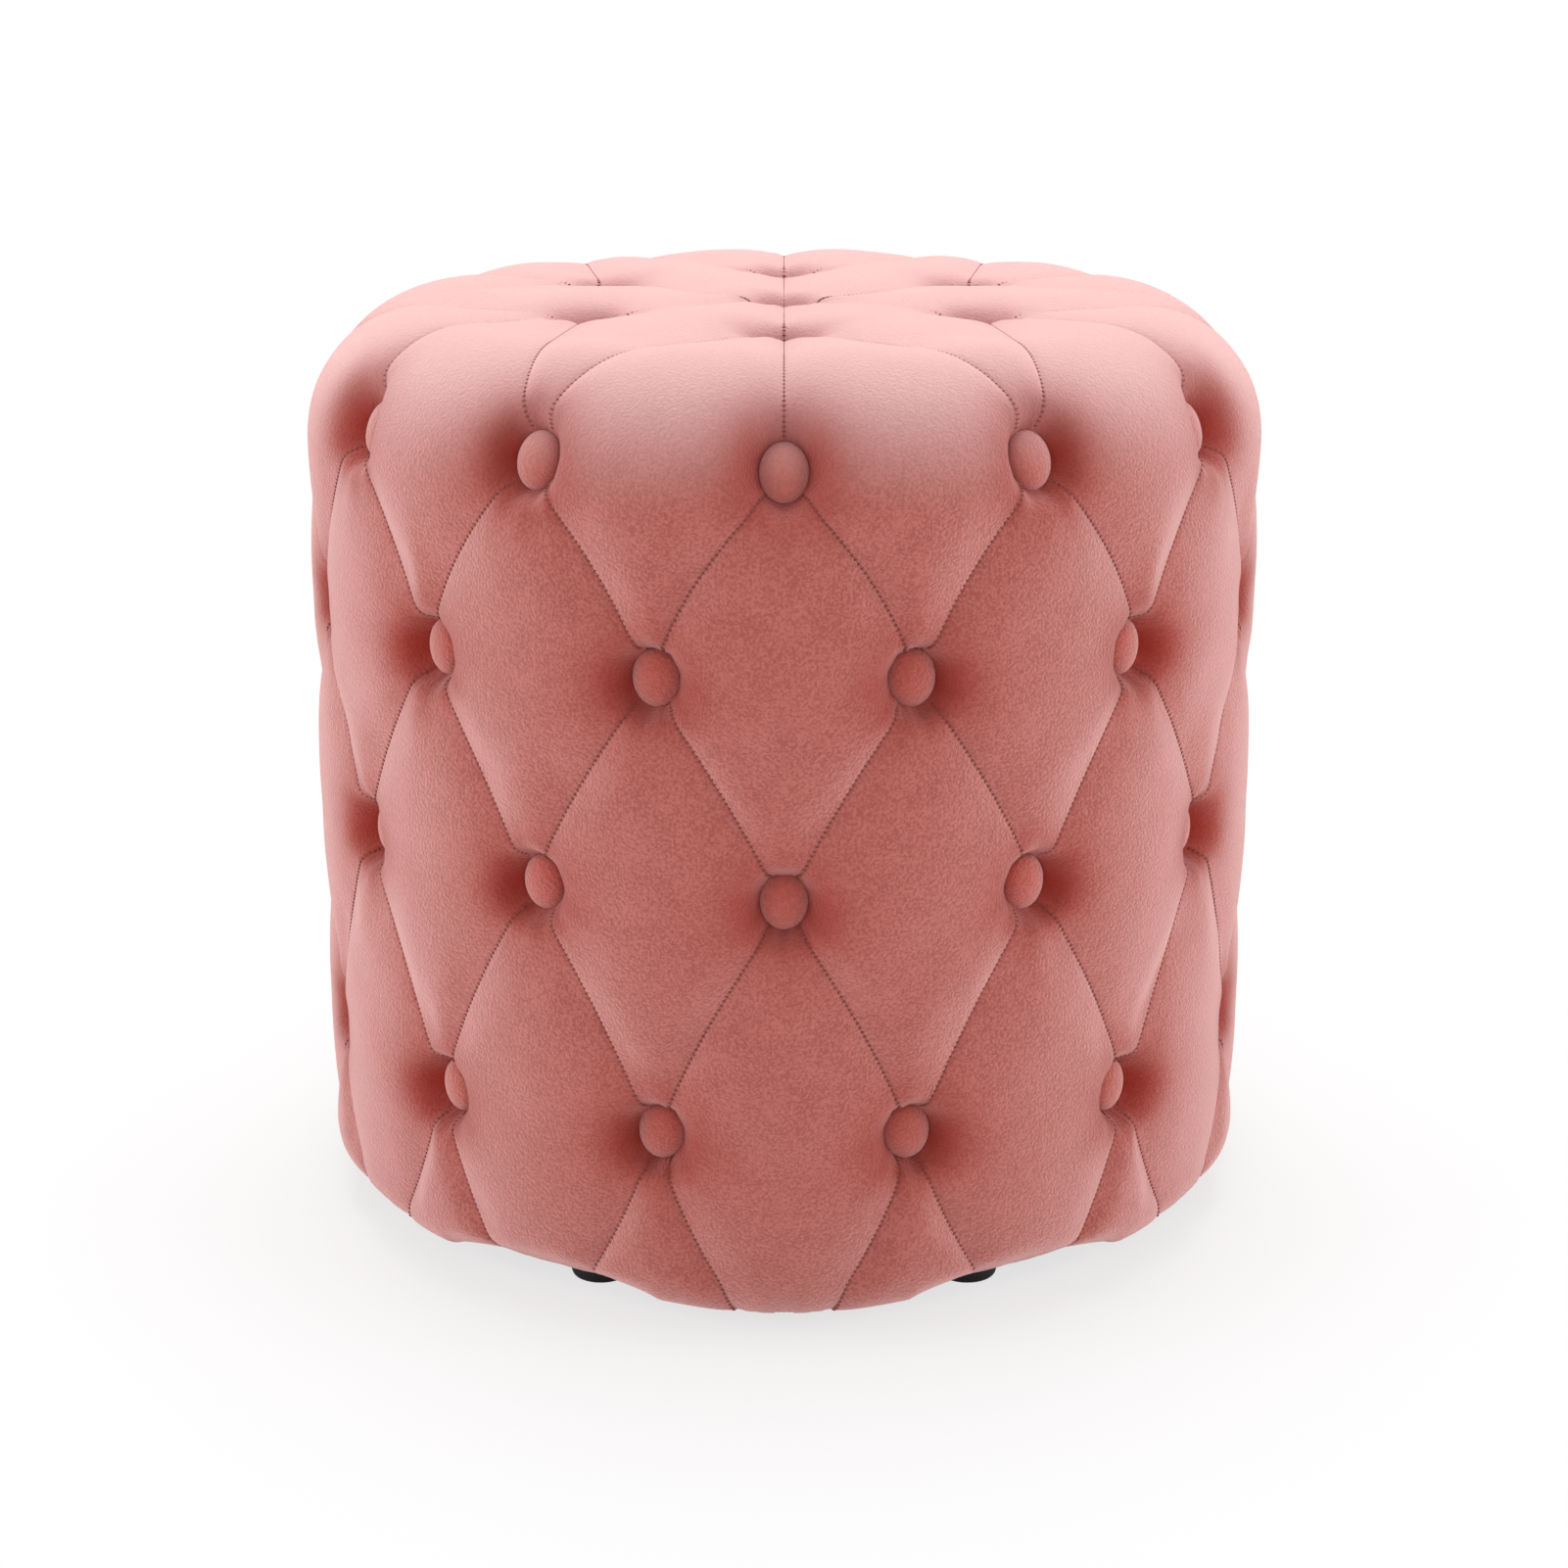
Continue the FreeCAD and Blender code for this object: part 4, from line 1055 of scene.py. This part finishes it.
class OTTOMAN_OT_filling(bpy.types.Operator):
    """Fills the cover with foam and wadding"""
    bl_idname = "ottoman.filling"
    bl_label = "Foam and wadding"

    def execute(self, context):
        low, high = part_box("wadding")
        profile = [(high[0] - WADDING_THICK, low[2]), (high[0], low[2])]
        wadding = turned("fibre_wadding", profile + domed(high[0], high[2], WADDING_THICK))
        uneven(wadding, 0.0002, 0.02)
        place_piece(wadding, "wadding", "Polyester wadding")

        low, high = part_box("side_foam")
        outer, inner = high[0], high[0] - FOAM_THICK
        profile = [(inner, low[2]), (outer, low[2])]
        profile += round_corner(FLAT_RADIUS, SHOULDER_LEVEL, outer - FLAT_RADIUS, 0, 90)
        sleeve = turned("foam_sleeve", profile + [(inner, high[2])])
        uneven(sleeve, 0.0001, 0.03)
        place_piece(sleeve, "side_foam", "Cut seat foam")

        low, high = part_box("top_foam")
        rim = high[2] - SEAT_RIM
        seat = turned("foam_seat", [
            (0, low[2]), (SEAT_WELL_RADIUS - SEAT_CHAMFER, low[2]), (SEAT_WELL_RADIUS, low[2] + SEAT_CHAMFER),
            (SEAT_WELL_RADIUS, rim), (high[0], rim), (high[0], high[2]), (0, high[2])])
        uneven(seat, 0.0001, 0.03)
        place_piece(seat, "top_foam", "Cut seat foam")
        return {"FINISHED"}


class OTTOMAN_OT_dust_cover(bpy.types.Operator):
    """Closes the underside with a stapled cloth"""
    bl_idname = "ottoman.dust_cover"
    bl_label = "Dust cover"

    def execute(self, context):
        low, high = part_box("dust_cover")
        radius, level = high[0], (low[2] + high[2]) / 2
        bpy.ops.object.select_all(action="DESELECT")
        bpy.ops.mesh.primitive_circle_add(
            vertices=DUST_SIDES, radius=radius, fill_type="NGON", location=(0, 0, 0))
        piece = context.object
        piece.name = "stapled_dust_cover"
        piece.data.name = piece.name
        bpy.ops.object.mode_set(mode="EDIT")
        bpy.ops.mesh.select_all(action="SELECT")
        for _ in range(DUST_RINGS - 2):
            bpy.ops.mesh.inset(thickness=radius / DUST_RINGS)
        bpy.ops.mesh.poke()
        bpy.ops.mesh.select_all(action="SELECT")
        bpy.ops.mesh.flip_normals()
        bpy.ops.object.mode_set(mode="OBJECT")
        points = points_of(piece)
        reach = np.hypot(points[:, 0], points[:, 1]) / radius
        angle = np.arctan2(points[:, 0], -points[:, 1])
        # Tight pleats run in from the staples, and the middle hangs a little.
        near_edge = np.clip((reach - PLEAT_START) / (1 - PLEAT_START), 0, 1)
        pleats = PLEAT_DEPTH * np.cos(angle * DUST_STAPLES) * near_edge
        points[:, 2] = level - DUST_SAG * (1 - reach ** 2) + pleats
        move_points(piece, points)
        bpy.ops.object.shade_smooth()
        place_piece(piece, "dust_cover", "Spun-bonded dust cloth")
        return {"FINISHED"}


class OTTOMAN_OT_frame_finish(bpy.types.Operator):
    """Gives wood, steel, twine and plastic their materials"""
    bl_idname = "ottoman.frame_finish"
    bl_label = "Frame, fixings and feet"

    def execute(self, context):
        finishes = {
            "Birch plywood": ["base_ring", "top_board"],
            "Planed spruce": ["post_%d" % (k + 1) for k in range(POSTS)],
            "Hardboard": ["drum_wall"],
            "Zinc-plated steel": ["base_screws", "foot_screws", "top_board_screws", "wall_nails",
                                  "hem_staples", "dust_cover_staples", "button_backs"],
            "Waxed flax twine": ["button_twine"],
            "Moulded nylon": ["twine_washers"],
            "Moulded black plastic": ["foot_%d" % (k + 1) for k in range(FEET)],
        }
        for finish, names in finishes.items():
            for name in names:
                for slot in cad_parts[name].material_slots:
                    slot.material = bpy.data.materials[finish]
        return {"FINISHED"}


# Stage

def studio_floor():
    """A white floor that keeps only a soft shadow close to the drum."""
    bpy.ops.object.select_all(action="DESELECT")
    bpy.ops.mesh.primitive_plane_add(size=FLOOR_WIDTH, location=(0, 0, 0))
    floor = bpy.context.object
    floor.name = "studio_floor"
    tree = material("White studio floor")
    seen = add(tree, "LightPath").outputs["Is Camera Ray"]
    away = add(tree, "VectorMath", {0: object_place(tree)}, operation="LENGTH").outputs["Value"]
    fade = remap(tree, away, *SHADOW_REACH, SHADOW_PALED, 1.0, change="SMOOTHSTEP")
    paper = add(tree, "BsdfDiffuse", {"Color": linear("#f4f4f4")}).outputs["BSDF"]
    white = add(tree, "Emission", {"Color": WHITE, "Strength": 1.0}).outputs["Emission"]
    both = add(tree, "MixShader", {0: maths(tree, "MULTIPLY", seen, fade), 1: paper, 2: white})
    add(tree, "OutputMaterial", {"Surface": both.outputs["Shader"]})
    floor.data.materials.append(bpy.data.materials["White studio floor"])


def studio_world():
    """A background that looks white and lights the drum only a little."""
    world = bpy.data.worlds.new("White studio")
    bpy.context.scene.world = world
    world.use_nodes = True
    tree = world.node_tree
    tree.nodes.clear()
    ray = add(tree, "LightPath").outputs
    direct = maths(tree, "MAXIMUM", ray["Is Camera Ray"], ray["Is Glossy Ray"])
    clear = maths(tree, "MAXIMUM", direct, ray["Is Transmission Ray"])
    lit, seen = [add(tree, "Background", {"Color": WHITE, "Strength": strength}).outputs["Background"]
                 for strength in (WORLD_LIGHT, 1.0)]
    both = add(tree, "MixShader", {0: clear, 1: lit, 2: seen})
    add(tree, "OutputWorld", {"Surface": both.outputs["Shader"]})


def softbox(name, place, width, power):
    """A square area lamp that looks at the drum."""
    lamp = bpy.data.lights.new(name, "AREA")
    lamp.shape = "SQUARE"
    lamp.size = width
    lamp.energy = power
    holder = bpy.data.objects.new(name, lamp)
    holder.location = place
    holder.rotation_euler = (Vector(LAMP_AIM) - Vector(place)).to_track_quat("-Z", "Y").to_euler()
    bpy.context.collection.objects.link(holder)


def photo_camera():
    """A camera that sees the drum as the photo shows it."""
    lens = bpy.data.cameras.new("photo_camera")
    lens.sensor_width = SENSOR_WIDTH
    lens.lens = PHOTO_FOCAL / PHOTO_WIDTH * SENSOR_WIDTH
    camera = bpy.data.objects.new("photo_camera", lens)
    camera.location = CAMERA_PLACE
    camera.rotation_euler = (math.pi / 2 - CAMERA_DOWN, 0, 0)
    bpy.context.collection.objects.link(camera)
    bpy.context.scene.camera = camera


class OTTOMAN_OT_stage(bpy.types.Operator):
    """Sets the floor, the soft studio light and the camera"""
    bl_idname = "ottoman.stage"
    bl_label = "Stage"

    def execute(self, context):
        studio_floor()
        context.scene.view_settings.view_transform = "Standard"
        studio_world()
        softbox("left_softbox", (-2.0, -0.7, 0.65), width=1.3, power=20)
        softbox("right_softbox", (2.0, -0.7, 0.65), width=1.3, power=20)
        softbox("top_softbox", (0, 0.5, 2.1), width=1.6, power=38)
        softbox("front_softbox", (0, -2.6, 1.3), width=1.6, power=20)
        photo_camera()
        return {"FINISHED"}


class OTTOMAN_PT_pieces(bpy.types.Panel):
    """Lists the ottoman's pieces, sizes and colours"""
    bl_label = "Ottoman"
    bl_idname = "OTTOMAN_PT_pieces"
    bl_space_type = "VIEW_3D"
    bl_region_type = "UI"
    bl_category = "Ottoman"

    def draw(self, context):
        for kind in OPERATORS:
            self.layout.operator(kind.bl_idname)
        for group in (context.scene.ottoman_sizes, context.scene.ottoman_colours):
            for name in group.__annotations__:
                self.layout.prop(group, name)


OPERATORS = (OTTOMAN_OT_materials, OTTOMAN_OT_velvet_pads, OTTOMAN_OT_stitches, OTTOMAN_OT_buttons,
             OTTOMAN_OT_lining, OTTOMAN_OT_filling, OTTOMAN_OT_dust_cover, OTTOMAN_OT_frame_finish,
             OTTOMAN_OT_stage)
CLASSES = (OttomanSizes, OttomanColours) + OPERATORS + (OTTOMAN_PT_pieces,)


def register():
    for kind in CLASSES:
        bpy.utils.register_class(kind)
    bpy.types.Scene.ottoman_sizes = bpy.props.PointerProperty(type=OttomanSizes)
    bpy.types.Scene.ottoman_colours = bpy.props.PointerProperty(type=OttomanColours)


def unregister():
    del bpy.types.Scene.ottoman_colours
    del bpy.types.Scene.ottoman_sizes
    for kind in reversed(CLASSES):
        bpy.utils.unregister_class(kind)


def main():
    register()
    bpy.ops.ottoman.materials()
    bpy.ops.ottoman.velvet_pads()
    bpy.ops.ottoman.stitches()
    bpy.ops.ottoman.buttons()
    bpy.ops.ottoman.lining()
    bpy.ops.ottoman.filling()
    bpy.ops.ottoman.dust_cover()
    bpy.ops.ottoman.frame_finish()
    bpy.ops.ottoman.stage()


if __name__ == "__main__":
    main()
